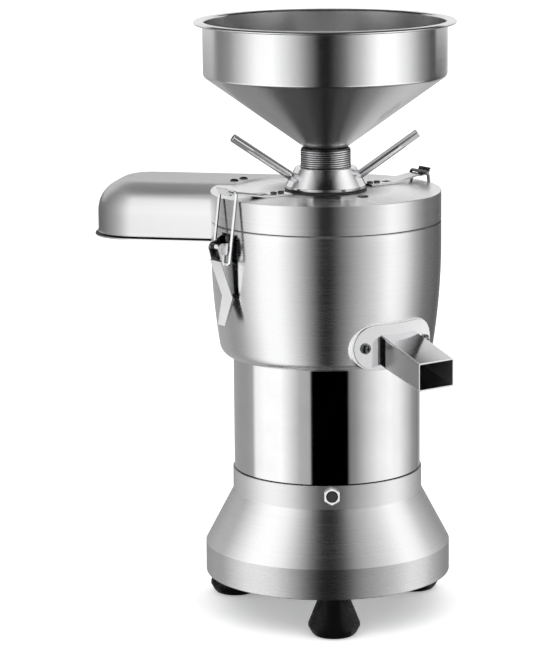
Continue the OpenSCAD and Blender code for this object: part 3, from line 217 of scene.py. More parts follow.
def applied(obj):
    """The object with its modifiers worked into its mesh."""
    graph = bpy.context.evaluated_depsgraph_get()
    mesh = bpy.data.meshes.new_from_object(obj.evaluated_get(graph))
    obj.modifiers.clear()
    obj.data = mesh
    return obj


def cut(obj, build):
    """The object with a closed build taken away from it."""
    cutter = new_object("cutter", build)
    knife = obj.modifiers.new("cut", "BOOLEAN")
    knife.operation, knife.solver, knife.object = "DIFFERENCE", "EXACT", cutter
    applied(obj)
    bpy.data.objects.remove(cutter)
    return obj


def dress(obj, body, nodes, finish, sharp=32):
    """Smooth shading, a finish, a body to ride on and the CAD nodes that the piece stands for."""
    obj.data.materials.clear()
    obj.data.materials.append(FINISH[finish])
    obj.data.shade_smooth()
    obj.data.set_sharp_from_angle(angle=math.radians(sharp))
    even = obj.modifiers.new("normals", "WEIGHTED_NORMAL")
    even.keep_sharp = True
    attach(obj, body)
    if nodes:
        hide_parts(*nodes)


def piece(name, build, body, nodes, finish, sharp=32):
    """A build as a finished piece."""
    dress(new_object(name, build), body, nodes, finish, sharp)


def refined(node, body, finish, width=0.35, steps=2):
    """A CAD node's shape with its sharp edges rounded, as a piece of its own."""
    bm = bmesh.new()
    bm.from_mesh(frame["nodes"][node].data)
    bmesh.ops.remove_doubles(bm, verts=bm.verts, dist=0.00002)
    bmesh.ops.dissolve_limit(bm, angle_limit=math.radians(0.5), verts=bm.verts, edges=bm.edges)
    edges = [e for e in bm.edges if len(e.link_faces) == 2 and e.calc_face_angle(0) > math.radians(38)]
    bmesh.ops.bevel(bm, geom=edges, offset=width * MM, offset_type="OFFSET", segments=steps, profile=0.5,
                    affect="EDGES", clamp_overlap=True)
    mesh = bpy.data.meshes.new(node + "_refined")
    bm.to_mesh(mesh)
    bm.free()
    obj = bpy.data.objects.new(node + "_refined", mesh)
    bpy.context.scene.collection.objects.link(obj)
    dress(obj, body, [node], finish)


# Materials

FINISH = {}
SHADE = (0.02, 0.02, 0.02)


def scaled(colour, k):
    """A colour made darker or lighter."""
    return tuple(min(1.0, c * k) for c in colour)


class Nodes:
    """A node tree under construction."""

    def __init__(self, tree):
        self.tree = tree

    def plug(self, value, socket):
        """A link where the value is a socket, or else a constant."""
        if isinstance(value, bpy.types.NodeSocket):
            self.tree.links.new(value, socket)
        else:
            socket.default_value = value

    def node(self, kind, inputs=(), **settings):
        node = self.tree.nodes.new("ShaderNode" + kind)
        for key, value in settings.items():
            setattr(node, key, value)
        for key, value in dict(inputs).items():
            self.plug(value, node.inputs[key])
        return node

    def vector(self, operation, first, second=None, **inputs):
        given = {0: first, **inputs}
        if second is not None:
            given[1] = second
        node = self.node("VectorMath", given, operation=operation)
        return node.outputs["Value" if operation in ("LENGTH", "DOT_PRODUCT") else "Vector"]

    def number(self, operation, first, second):
        return self.node("Math", {0: first, 1: second}, operation=operation).outputs[0]

    def weighed(self, first, second, share):
        """A share of the first number and the rest of the second."""
        rest = self.number("MULTIPLY", second, 1 - share)
        return self.number("ADD", self.number("MULTIPLY", first, share), rest)

    def noise(self, vector, scale, detail=3.0, rough=0.6):
        return self.node("TexNoise", {"Vector": vector, "Scale": scale, "Detail": detail,
                                      "Roughness": rough}).outputs["Fac"]

    def spread(self, value, low, high, from_low=0.3, from_high=0.7):
        return self.node("MapRange", {"Value": value, "From Min": from_low, "From Max": from_high,
                                      "To Min": low, "To Max": high}).outputs["Result"]

    def tint(self, value, *stops):
        """Colours at places along a number."""
        ramp = self.node("ValToRGB", {"Fac": value})
        bar = ramp.color_ramp
        while len(bar.elements) < len(stops):
            bar.elements.new(0.5)
        for element, (place, colour) in zip(bar.elements, stops):
            element.position = place
            element.color = (*colour, 1)
        return ramp.outputs["Color"]

    def mix(self, share, first, second, **settings):
        """One colour changing into another; each is a socket or three numbers."""
        first, second = (c if isinstance(c, bpy.types.NodeSocket) else (*c, 1) for c in (first, second))
        return self.node("Mix", {0: share, 6: first, 7: second}, data_type="RGBA", **settings).outputs[2]


class Finish(Nodes):
    """A procedural material under construction, kept by its name."""

    def __init__(self, name):
        self.material = FINISH[name] = bpy.data.materials.new(name)
        self.material.use_nodes = True
        super().__init__(self.material.node_tree)
        self.shader = self.tree.nodes["Principled BSDF"]
        self.coords = self.node("TexCoord").outputs["Object"]

    def set(self, **values):
        for key, value in values.items():
            self.plug(value, self.shader.inputs[key.replace("_", " ")])

    def bump(self, height, strength, distance):
        self.set(Normal=self.node("Bump", {"Height": height, "Strength": strength,
                                           "Distance": distance}).outputs["Normal"])

    def normal(self):
        return self.node("NewGeometry").outputs["Normal"]

    def height(self):
        return self.node("SeparateXYZ", {0: self.coords}).outputs[2]

    def outwards(self):
        """The level way from the motor axis to the surface."""
        about = self.node("SeparateXYZ", {0: self.vector("SUBTRACT", self.coords, tuple(AXIS))})
        return self.node("CombineXYZ", {0: about.outputs[0], 1: about.outputs[1]}).outputs[0]

    def radius(self):
        return self.vector("LENGTH", self.outwards())

    def streaks(self, freq, length):
        """Fine lines round the motor axis, as a lathe or a brush leaves them."""
        along = self.number("ADD", self.height(), self.radius())
        line = self.node("CombineXYZ", {2: self.number("MULTIPLY", along, freq)}).outputs[0]
        ring = self.vector("SCALE", self.vector("NORMALIZE", self.outwards()), Scale=length)
        return self.vector("ADD", ring, line)

    def grain(self, value, colour, share, places=(0.3, 0.5, 0.7)):
        """A colour that a noise makes a little darker or lighter."""
        tones = scaled(colour, 1 - share), colour, scaled(colour, 1 + share)
        return self.tint(value, *zip(places, tones))

    def edges(self, colour, bright):
        """Wear: the colour grows brighter on ridges."""
        ridge = self.node("NewGeometry").outputs["Pointiness"]
        return self.mix(self.spread(ridge, 0.0, 1.0, 0.52, 0.58), colour, bright)

    def paint_shade_line(self, colour, low, high):
        """A painted shade line between two heights."""
        height = self.height()
        above = self.number("GREATER_THAN", height, low * MM)
        below = self.number("LESS_THAN", height, high * MM)
        return self.mix(self.number("MULTIPLY", above, below), colour, SHADE)

    def outlined(self, colour, radius):
        """A dark line along sharp edges, where light rolls off them."""
        soft = self.node("Bevel", {"Radius": radius * MM}, samples=4).outputs["Normal"]
        flatness = self.vector("DOT_PRODUCT", soft, self.normal())
        return self.mix(self.spread(flatness, 1.0, 0.0, 0.8, 0.985), colour, SHADE)

    def within(self, radius):
        """1 nearer to the motor axis than a radius and 0 beyond it."""
        return self.spread(self.radius(), 1.0, 0.0, (radius - 0.6) * MM, (radius + 0.6) * MM)

    def inner_faces(self, colour, turn, near=0.0):
        """Painted shade: faces turned towards the motor axis, and what lies nearer to it than a radius, are
        painted dark.
        """
        facing = self.vector("DOT_PRODUCT", self.vector("NORMALIZE", self.outwards()), self.normal())
        shade = self.spread(facing, 1.0, 0.0, turn - 0.12, turn + 0.12)
        return self.mix(self.number("MAXIMUM", shade, self.within(near)), colour, SHADE)


def turned_metal(name, colour, rough, grain=0.035, band=None, core=None, matt=None):
    """Metal turned about the motor axis.

    band is a height and the tone of a painted shade below it, core two radii of a painted soft shade
    round the hub, and matt a height and how much rougher the metal is above it.
    """
    f = Finish(name)
    lines = f.noise(f.streaks(1300, 0.32), 1.0, 2.0, 0.55)
    both = f.weighed(lines, f.noise(f.coords, 26.0, 2.0), 0.75)
    shade = f.grain(both, colour, grain, (0.3, 0.52, 0.72))
    if band:
        # Painted shade: the metal below the height is painted darker
        below = f.number("LESS_THAN", f.height(), band[0] * MM)
        shade = f.mix(below, shade, [band[1]] * 3, blend_type="MULTIPLY")
    shade = f.edges(shade, scaled(colour, 1.12))
    # Painted shade: a soft dark ring painted round the hub, for its shadow and dark reflection
    if core:
        shade = f.mix(f.spread(f.radius(), 0.9, 0.0, core[0] * MM, core[1] * MM), shade, SHADE)
    dull = f.spread(both, rough - 0.03, rough + 0.03)
    if matt:
        above = f.number("GREATER_THAN", f.height(), matt[0] * MM)
        dull = f.number("ADD", dull, f.number("MULTIPLY", above, matt[1]))
    f.set(Base_Color=shade, Metallic=1.0, Anisotropic=0.8, Anisotropic_Rotation=0.25, Roughness=dull)
    f.set(Tangent=f.node("Tangent", direction_type="RADIAL", axis="Z").outputs[0])
    f.bump(lines, 0.02, 0.00012)


def threaded_metal(name, colour, rough):
    """A cut thread about the motor axis, dark in its roots with oil and painted shade."""
    f = Finish(name)
    # Painted shade: the thread's roots are painted darker than its crests
    depth = f.spread(f.radius(), 0.0, 1.0, TUBE_ROOT * MM, TUBE_R * MM)
    shade = f.tint(depth, (0.1, scaled(colour, 0.2)), (0.45, scaled(colour, 0.6)), (0.75, colour))
    lines = f.noise(f.streaks(3000, 0.5), 1.0, 2.0)
    f.set(Base_Color=shade, Metallic=1.0, Roughness=f.spread(lines, rough - 0.04, rough + 0.04))
    f.bump(lines, 0.05, 0.00005)


def satin_metal(name, colour, rough, scale=1400, shade_line=None):
    """Blasted or drawn metal; two heights may be given for a painted shade line between them."""
    f = Finish(name)
    fine = f.noise(f.coords, scale, 2.0, 0.6)
    both = f.weighed(fine, f.noise(f.coords, 18.0, 3.0, 0.55), 0.6)
    shade = f.edges(f.grain(both, colour, 0.04), scaled(colour, 1.1))
    if shade_line:
        shade = f.paint_shade_line(shade, *shade_line)
    f.set(Base_Color=shade, Metallic=1.0, Roughness=f.spread(both, rough - 0.05, rough + 0.05))
    f.bump(fine, 0.1, 0.0001)


def polished_metal(name, colour, rough, scratch=0.05, line=None, inside=None, shade_line=None):
    """Polished metal with fine scratches.

    line is the width of painted shade lines along edges, inside what inner_faces takes for painted shade on
    inner faces, and two heights may be given for a painted shade line between them.
    """
    f = Finish(name)
    long_way = f.node("Mapping", {"Vector": f.coords, "Scale": (260.0, 900.0, 120.0),
                                  "Rotation": (0.3, 0.2, 0.5)}).outputs[0]
    lines = f.noise(long_way, 1.0, 4.0, 0.7)
    smear = f.noise(f.coords, 35.0, 3.0)
    shade = f.tint(smear, (0.3, scaled(colour, 0.96)), (0.7, scaled(colour, 1.03)))
    if inside:
        shade = f.inner_faces(shade, *inside)
    shade = f.outlined(shade, line) if line else f.edges(shade, scaled(colour, 1.1))
    if shade_line:
        shade = f.paint_shade_line(shade, *shade_line)
    dull = f.spread(f.weighed(lines, smear, 0.5), max(0.02, rough - scratch), rough + scratch)
    f.set(Base_Color=shade, Metallic=1.0, Roughness=dull)
    f.bump(lines, 0.04, 0.00005)


def folded_metal(name, colour, rough, dull, root):
    """A folded chute: painted shade in the corners by its flange, and duller on its walls than on its top."""
    f = Finish(name)
    rise = f.node("SeparateXYZ", {0: f.normal()}).outputs[2]
    wall = f.spread(f.number("ABSOLUTE", rise, 0.0), 1.0, 0.0, 0.35, 0.65)
    smear = f.noise(f.coords, 45.0, 4.0)
    shade = f.tint(smear, (0.3, scaled(colour, 0.97)), (0.7, scaled(colour, 1.03)))
    # Painted shade: the walls are painted dark near the flange
    f.set(Base_Color=f.mix(f.number("MULTIPLY", wall, f.within(root)), shade, SHADE), Metallic=1.0,
          Roughness=f.number("ADD", f.spread(wall, rough, dull, 0.0, 1.0), f.spread(smear, -0.02, 0.02)))
    f.bump(smear, 0.03, 0.00005)


def moulded(name, colour, rough, scale=700, grain=0.25, bump=0.12, coat=0.0, shine=0.5):
    """Rubber, plastic or stone from a mould, with a little dust."""
    f = Finish(name)
    fine = f.noise(f.coords, scale, 3.0)
    shade = f.grain(f.noise(f.coords, 30.0, 4.0, 0.7), colour, grain, (0.3, 0.55, 0.8))
    f.set(Base_Color=f.edges(shade, scaled(colour, 1.6)), Coat_Weight=coat, Specular_IOR_Level=shine,
          Roughness=f.spread(fine, rough - 0.06, rough + 0.08))
    f.bump(fine, bump, 0.00015)


def layered(name, colour, dark, rough, metal):
    """Stacked sheet or wound wire: fine rings along the axis."""
    f = Finish(name)
    lines = f.noise(f.streaks(2600, 3.0), 1.0, 2.0)
    f.set(Base_Color=f.tint(lines, (0.4, dark), (0.6, colour)), Metallic=metal,
          Roughness=f.spread(lines, rough - 0.08, rough + 0.08))
    f.bump(lines, 0.4, 0.0002)


TURNED, CHROME, STEEL = (0.90, 0.90, 0.905), (0.88, 0.88, 0.89), (0.85, 0.85, 0.86)
SPOUT_STEEL, CHUTE_STEEL = (0.86, 0.86, 0.87), (0.87, 0.87, 0.88)
EDGE_LINE = 1.0
# Radii inside which the chute's walls and the brackets are painted dark: painted shade
CHUTE_CORNER_R, BRACKET_BACK_R = 115.5, 113

# The base's rim is painted darker below RIM_Z, a painted shade for its darker reflection
turned_metal("turned_base", TURNED, 0.26, band=(RIM_Z, 0.74), matt=(CONE_Z, 0.2))
turned_metal("turned_chamber", TURNED, 0.26)
# The lid's top gets a painted soft shade round the adjusting ring
turned_metal("turned_lid", TURNED, 0.25, core=(RING_R + 1, 64))
turned_metal("spun_hopper", TURNED, 0.22, grain=0.025)
turned_metal("thread_steel", (0.66, 0.66, 0.67), 0.28, grain=0.08)
threaded_metal("cut_thread", (0.88, 0.88, 0.885), 0.26)
# The sleeve gets a painted shade line where it meets the base's neck
polished_metal("mirror_sleeve", CHROME, 0.05, 0.02, shade_line=(NECK_Z - 1, NECK_Z + 1.2))
polished_metal("polished_ring", CHROME, 0.13, 0.03)
polished_metal("bright_steel", STEEL, 0.15)
polished_metal("polished_spout", SPOUT_STEEL, 0.1, line=EDGE_LINE)
# The latch parts, brackets and wires are painted dark on faces turned to the axis: painted shade
polished_metal("latch_steel", STEEL, 0.16, line=EDGE_LINE, inside=(-0.2,))
polished_metal("bracket_steel", STEEL, 0.16, line=EDGE_LINE, inside=(-0.2, BRACKET_BACK_R))
polished_metal("latch_wire", CHUTE_STEEL, 0.12, inside=(0.2,))
polished_metal("handle_steel", SPOUT_STEEL, 0.14)
folded_metal("folded_chute", CHUTE_STEEL, 0.1, 0.3, CHUTE_CORNER_R)
# The hood gets a painted shade line along its lip
satin_metal("satin_hood", (0.86, 0.86, 0.865), 0.36, shade_line=(HOOD_Z + 1.4, HOOD_Z + 3.2))
satin_metal("nut_steel", (0.76, 0.76, 0.765), 0.4, scale=900)
satin_metal("screw_steel", (0.40, 0.40, 0.41), 0.2)
satin_metal("rivet_steel", (0.12, 0.12, 0.125), 0.3)
satin_metal("cast_body", (0.70, 0.71, 0.72), 0.4, scale=600)
satin_metal("sheet_steel", (0.74, 0.75, 0.76), 0.34)
satin_metal("bracket_alloy", (0.64, 0.65, 0.66), 0.45, scale=500)
layered("lamination", (0.33, 0.34, 0.36), (0.16, 0.16, 0.17), 0.45, 1.0)
layered("winding", (0.62, 0.33, 0.16), (0.30, 0.13, 0.05), 0.4, 0.9)
moulded("black_rubber", (0.004, 0.004, 0.0045), 0.22, scale=250, grain=0.1, bump=0.015, shine=0.18)
moulded("gasket_rubber", (0.05, 0.05, 0.05), 0.6)
moulded("white_gasket", (0.74, 0.74, 0.72), 0.5, grain=0.06)
moulded("black_plastic", (0.025, 0.025, 0.026), 0.38)
moulded("red_plastic", (0.45, 0.02, 0.02), 0.25, coat=0.4)
moulded("pale_plastic", (0.72, 0.70, 0.64), 0.5, grain=0.08)
moulded("abrasive_stone", (0.45, 0.41, 0.34), 0.85, scale=1500, bump=0.8)


# Camera, at the photograph's station; its turn is about the motor axis

CAMERA_TURN, CAMERA_DIST, CAMERA_Z = 11.1, 2.76473, 0.81128
CAMERA_PITCH, CAMERA_ROLL, CAMERA_YAW = 0.1974, -0.00621, -0.00485
CAMERA_SIDE = CAMERA_TURN - 90
PHOTO_W, PHOTO_H, SENSOR = 533, 668, 36
FOCAL_PIXELS, MIDDLE_X, MIDDLE_Y = 3001.17, 312.32, 338.13


def look():
    """The camera, as fitted to the photograph."""
    about = Matrix.Rotation(math.radians(CAMERA_TURN), 3, "Z")
    level = math.cos(CAMERA_PITCH)
    ahead = Vector((math.sin(CAMERA_YAW) * level, math.cos(CAMERA_YAW) * level, -math.sin(CAMERA_PITCH)))
    right = Vector((math.cos(CAMERA_YAW), -math.sin(CAMERA_YAW), 0))
    up = right.cross(ahead)
    across = math.cos(CAMERA_ROLL) * right + math.sin(CAMERA_ROLL) * up
    rise = math.cos(CAMERA_ROLL) * up - math.sin(CAMERA_ROLL) * right
    turn = Matrix((about @ across, about @ rise, -(about @ ahead))).transposed()
    data = bpy.data.cameras.new("camera")
    data.sensor_width = SENSOR
    data.lens = SENSOR * FOCAL_PIXELS / PHOTO_H
    data.shift_x, data.shift_y = (PHOTO_W / 2 - MIDDLE_X) / PHOTO_H, (MIDDLE_Y - PHOTO_H / 2) / PHOTO_H
    data.clip_start, data.clip_end = 0.05, 50
    cam = bpy.data.objects.new("camera", data)
    station = AXIS + about @ Vector((0, -CAMERA_DIST, CAMERA_Z))
    cam.matrix_world = Matrix.Translation(station) @ turn.to_4x4()
    bpy.context.scene.collection.objects.link(cam)
    bpy.context.scene.camera = cam


look()


# Base, feet and motor barrel

BASE_LIP, BASE_WALL, PLATE_SEAT = 3, 5, 2
FOOT_AT, FOOT_R, FOOT_SOLE_R, FOOT_TOP_R = 100, 24, 18.25, 14
FOOT_BORE_R, FOOT_SINK_R, FOOT_SINK_Z = 4.3, 9, 14
SOLE_BEVEL, FOOT_LOW, FOOT_HIGH = 2.5, 8.25, 10.75
BARREL_BORE_R = 85


def make_base():
    lip_r, inner_r, seat_z = BASE_R - BASE_LIP, BASE_R - BASE_WALL, BASE_Z + PLATE_SEAT
    side = rounded([(MOTOR_BORE_R, NECK_Z), (NECK_R, NECK_Z), (NECK_R, CONE_Z), (BASE_R, RIM_Z),
                    (BASE_R, BASE_Z), (lip_r, BASE_Z), (lip_r, seat_z), (inner_r, seat_z),
                    (inner_r, RIM_Z - BASE_LIP), (MOTOR_BORE_R, CONE_Z - BASE_LIP)],
                   [0.5, 0.7, 1.6, 0.7, 1.2, 0.3, 0.3, 0.3, 2, 2])
    piece("base_casting", lathe(side, 192), "housing", ["base"], "turned_base")
    foot = rounded([(FOOT_BORE_R, FOOT_SINK_Z), (FOOT_SINK_R, FOOT_SINK_Z), (FOOT_SINK_R, 0),
                    (FOOT_SOLE_R, 0), (FOOT_SOLE_R + SOLE_BEVEL, SOLE_BEVEL), (FOOT_R, FOOT_LOW),
                    (FOOT_R, FOOT_HIGH), (FOOT_TOP_R, BASE_Z), (FOOT_BORE_R, BASE_Z)],
                   [0.3, 0.5, 0.8, 1.2, 1.5, 1.2, 2.2, 0.4, 0.3])
    feet = [lathe(foot, 72, turned_to(a, at=(FOOT_AT, 0, 0))) for a in FOOT_ANGLES]
    piece("moulded_feet", joined(*feet), "housing", ["rubber_feet"], "black_rubber")
    sleeve = rounded([(BARREL_BORE_R, NECK_Z), (BARREL_R, NECK_Z), (BARREL_R, CHAMBER_Z),
                      (BARREL_BORE_R, CHAMBER_Z)], 0.4)
    piece("polished_sleeve", lathe(sleeve, 256), "housing", ["motor_barrel"], "mirror_sleeve")


make_base()


# Chamber and milk spout

TAPER, TAPER_TOP, TAPER_DROP = 7.1, 350.5, 93.5
CORNER_R, CORNER_AT, CHAMBER_WALL = 12, 88.26, 5
FLOOR_R, FLOOR_Z = 86, 255
WALL_LEVELS = (256.2, 264, 272, *range(282, 343, 10), TAPER_TOP, 360, 370.9)
BORE_LEVELS = (370.9, *range(350, 269, -20), 261)
SPOUT_Z, SEAT_IN, SEAT_R, SEAT_LEDGE = 268.5, 93, 104.77, 0.8
FLANGE_IN, FLANGE_OUT, FLANGE_W, FLANGE_H = 105.77, 107.77, 90, 42
CHUTE_W, CHUTE_H, CHUTE_REACH, SHEET = 41, 28.5, 161, 1.5
CHUTE_ROOT, CHUTE_FALL, CHUTE_TAPER, CHUTE_SET = 102, 15.5, 2.5, 2.5
CHUTE_BORE_IN, CHUTE_BORE_OUT, CHUTE_BEVEL = 70, 125, 0.3
SPOUT_SCREW_AT, SPOUT_SCREW_R, SPOUT_SCREW_H = 34.5, 5, 4


def wall_r(z):
    """The chamber's outer radius at a height."""
    return CHAMBER_R - TAPER * (max(0.0, TAPER_TOP - z) / TAPER_DROP) ** 2


def stadium(width, height, steps=14):
    """Points of a stadium in (tangent, height), about its own middle."""
    r, half = height / 2, (width - height) / 2
    out = []
    for side in (1, -1):
        for k in range(steps + 1):
            a = math.radians(-90 + 180 * k / steps)
            out.append((side * (half + r * math.cos(a)), side * r * math.sin(a)))
        out += [(side * half * (1 - 2 * k / steps), side * r) for k in range(1, steps)]
    return out


def bent_plate(r_in, r_out, width, height, edge=0.4):
    """A stadium plate bent round the motor axis, its centre at local X."""
    def ring(r, inset):
        return [(math.sqrt(max(0.0, r * r - y * y)), y, SPOUT_Z + z)
                for y, z in stadium(width - 2 * inset, height - 2 * inset)]
    shares = (0.15, 0.4, 0.7, 1.0)
    inner = [ring(r_in, height / 2 * k) for k in reversed(shares)]
    bend = [ring(r_out - edge * (1 - math.sin(a)), edge * (1 - math.cos(a))) for a in (0.0, 0.5, 1.0)]
    outer = [ring(r_out, edge), ring(r_out, edge * 2), *[ring(r_out, height / 2 * k) for k in shares]]
    return loops([*inner, ring(r_in, 0), *bend, *outer], turned_to(SPOUT_ANGLE), caps=False)


def chute_ring(x, inset):
    """Section of the chute at a distance out along local X."""
    drop = -(x - SEAT_R) * math.tan(math.radians(CHUTE_FALL))
    thin = CHUTE_TAPER * (x - SEAT_R) / (CHUTE_REACH - SEAT_R)
    mid = SPOUT_Z - CHUTE_SET + drop
    low, high, half = mid - CHUTE_H / 2 + inset, mid + CHUTE_H / 2 - thin - inset, CHUTE_W / 2 - inset
    flat = rounded([(-half, low), (half, low), (half, high), (-half, high)], max(0.6, 2.2 - inset), steps=5)
    return [(x, p[0], p[1]) for p in flat]


def pan_head(radius, height, around=48):
    """A pan-head screw's head about local Z, with a cross recess."""
    arm, half, shoulder = radius * 0.62, radius * 0.13, height * 0.45
    side = rounded([(radius, -1), (radius, shoulder), (arm, height)], [0, 0.5, 0], closed=False)
    obj = new_object("head", loops([circle([p[0]] * around, p[1]) for p in side], Matrix.Identity(4)))
    cross, quarter = [], [(arm, -half), (arm, half), (half, half)]
    for _ in range(4):
        cross += quarter
        quarter = [(-y, x) for x, y in quarter]
    ends = ((0.65, height * 0.35), (1.0, height + 1))
    cut(obj, loops([[(x * k, y * k, z) for x, y in cross] for k, z in ends], Matrix.Identity(4)))
    build = [v.co.copy() for v in obj.data.vertices], [tuple(p.vertices) for p in obj.data.polygons]
    bpy.data.objects.remove(obj)
    return build


def make_chamber():
    corner = [(CORNER_AT + CORNER_R * math.cos(math.radians(a)),
               CHAMBER_Z + CORNER_R + CORNER_R * math.sin(math.radians(a))) for a in range(-90, -8, 9)]
    wall = [(wall_r(z), z) for z in WALL_LEVELS]
    inner = [(wall_r(z) - CHAMBER_WALL, z) for z in BORE_LEVELS]
    side = [(MOTOR_BORE_R, CHAMBER_Z), *corner, *wall, (CHAMBER_R - 0.6, CHAMBER_TOP),
            (CHAMBER_R - 4.4, CHAMBER_TOP), *inner, (FLOOR_R, FLOOR_Z), (MOTOR_BORE_R, FLOOR_Z)]
    bore = loops([chute_ring(x, SHEET) for x in (CHUTE_BORE_IN, CHUTE_BORE_OUT)], turned_to(SPOUT_ANGLE))
    bowl = new_object("turned_chamber", lathe(side, 256))
    dress(cut(bowl, bore), "housing", ["chamber"], "turned_chamber")
    ledge = 2 * SEAT_LEDGE
    seat = new_object("spout_seat", bent_plate(SEAT_IN, SEAT_R, FLANGE_W + ledge, FLANGE_H + ledge, 0.6))
    dress(cut(seat, bore), "housing", [], "turned_chamber")
    flange = new_object("spout_flange", bent_plate(FLANGE_IN, FLANGE_OUT, FLANGE_W, FLANGE_H))
    dress(cut(flange, bore), "housing", [], "polished_spout")
    places = (CHUTE_ROOT, 120, 140, CHUTE_REACH - CHUTE_BEVEL)
    rings = [chute_ring(x, 0) for x in places]
    rings += [chute_ring(CHUTE_REACH, inset) for inset in (CHUTE_BEVEL, SHEET - CHUTE_BEVEL)]
    rings += [chute_ring(x, SHEET) for x in reversed(places)]
    chute = loops(rings, turned_to(SPOUT_ANGLE), endless=True)
    piece("spout_chute", chute, "housing", ["milk_spout"], "folded_chute")
    head = pan_head(SPOUT_SCREW_R, SPOUT_SCREW_H)
    seat_x = math.sqrt(FLANGE_OUT ** 2 - SPOUT_SCREW_AT ** 2)
    heads = [put(head, turned_to(SPOUT_ANGLE, at=(seat_x, y, SPOUT_Z)) @ ALONG_X)
             for y in (-SPOUT_SCREW_AT, SPOUT_SCREW_AT)]
    piece("spout_screw_heads", joined(*heads), "housing", ["spout_screws"], "screw_steel")


make_chamber()


# Lid, hood, straps and their fasteners

LID_BORE_R, LID_BOSS_R, LID_WALL, LID_ROOF = 30.5, 46, 5, 392
WINDOW_X, WINDOW_Y, WINDOW_Z = (-110, -50), (-4, 80), (378, LID_ROOF - 0.1)
PLUG_ANGLE, PLUG_AT, PLUG_R, PLUG_Z, PLUG_TOP = 316.7, 58.3, 5, 397, 400.3
HOOD_TIP, HOOD_FAR, HOOD_NEAR, HOOD_END = -227.5, 106.4, -8.6, -12
HOOD_TOP, HOOD_FILLET, HOOD_CORNER, HOOD_SHEET = 401, 30, 43, 1.5
HOOD_LIP = ((-3, 0), (-3, 1.2), (-2.4, 2.0), (-1.0, 3.0), (-0.2, 4.4), (0, 6.5))
HOOD_LAP_R, HOOD_GAP = 89.5, 0.15
HOOD_SCREW_ANGLES, HOOD_SCREW_AT, HOOD_SCREW_R, HOOD_SCREW_H = (153.5, 162.5), 98.5, 4, 1.6


def make_lid():
    inside = CHAMBER_R - LID_WALL
    side = rounded([(LID_BORE_R, LID_TOP), (CHAMBER_R, LID_TOP), (CHAMBER_R, LID_Z), (inside, LID_Z),
                    (inside, LID_ROOF), (LID_BOSS_R, LID_ROOF), (LID_BOSS_R, HUB_Z), (LID_BORE_R, HUB_Z)],
                   [0.2, 0.8, 0.5, 0.3, 1, 1, 0.5, 0.3])
    lid = new_object("turned_lid", lathe(side, 256))
    (left, right), (near, far) = WINDOW_X, WINDOW_Y
    window = loops([[(left, near, z), (right, near, z), (right, far, z), (left, far, z)] for z in WINDOW_Z])
    dress(cut(lid, window), "housing", ["lid"], "turned_lid")
    plug = rounded([(NEAR_AXIS, PLUG_Z), (PLUG_R, PLUG_Z), (PLUG_R, PLUG_TOP), (NEAR_AXIS, PLUG_TOP)],
                   [0, 0, 0.6, 0])
    stopper = lathe(plug, 40, turned_to(PLUG_ANGLE, at=(PLUG_AT, 0, 0)))
    piece("lid_stopper", stopper, "housing", ["lid_plug"], "black_rubber")


def hood_ring(inset, z, steps=10):
    """Plan outline of the hood at an inset, open towards the machine."""
    r = HOOD_CORNER - inset
    out = [(HOOD_END, HOOD_NEAR + inset, z)]
    for centre_y, start in ((HOOD_NEAR + HOOD_CORNER, 270), (HOOD_FAR - HOOD_CORNER, 180)):
        for k in range(steps + 1):
            a = math.radians(start - 90 * k / steps)
            out.append((HOOD_TIP + HOOD_CORNER + r * math.cos(a), centre_y + r * math.sin(a), z))
    out.append((HOOD_END, HOOD_FAR - inset, z))
    return out


def hood_skin():
    """The hood's outer face as an open build, from its lip over the fillet to its top."""
    side = [(inset, HOOD_Z + rise) for inset, rise in HOOD_LIP]
    side += [(HOOD_FILLET * (1 - math.cos(a)), HOOD_TOP - HOOD_FILLET * (1 - math.sin(a)))
             for a in (math.radians(90 * k / 12) for k in range(13))]
    rings = [hood_ring(*p) for p in side]
    size = len(rings[0])
    faces = []
    for k in range(len(rings) - 1):
        for i in range(size - 1):
            faces.append((k * size + i, k * size + i + 1, (k + 1) * size + i + 1, (k + 1) * size + i))
    top = (len(rings) - 1) * size
    for i in range(size // 2 - 1):
        faces.append((top + i, top + i + 1, top + size - 2 - i, top + size - 1 - i))
    return [spot(*p) for ring in rings for p in ring], faces


def make_hood():
    hood = new_object("drawn_hood", hood_skin())
    bm = bmesh.new()
    bm.from_mesh(hood.data)
    if sum(face.normal.z for face in bm.faces) < 0:
        bmesh.ops.reverse_faces(bm, faces=bm.faces)
    bm.to_mesh(hood.data)
    bm.free()
    shell = hood.modifiers.new("sheet", "SOLIDIFY")
    shell.thickness, shell.offset, shell.use_even_offset = HOOD_SHEET * MM, -1, True
    applied(hood)
    low, high, core_r, side_r = HOOD_Z - 20, HOOD_TOP + 10, 0.5, CHAMBER_R + HOOD_GAP
    body = [(core_r, low), (side_r, low), (side_r, LID_TOP), (HOOD_LAP_R, LID_TOP), (HOOD_LAP_R, high),
            (core_r, high)]
    dress(cut(hood, lathe(body, 192)), "housing", ["pulp_hood"], "satin_hood", 40)
    head = pan_head(HOOD_SCREW_R, HOOD_SCREW_H)
    heads = [put(head, turned_to(a, at=(HOOD_SCREW_AT, 0, HOOD_TOP))) for a in HOOD_SCREW_ANGLES]
    piece("hood_screw_heads", joined(*heads), "housing", ["hood_screws"], "rivet_steel")


make_lid()
make_hood()


# Latches; a bail's foot and top are each a radius and a height

BAIL_FOOT_R, BAIL_FOOT_Z, BAIL_TOP_R, BAIL_TOP_Z = 117, 342, 108.3, 407.5
BAIL_HALF, BAIL_HOOK, BAIL_WIRE_R = 13.7, 7.2, 1.5


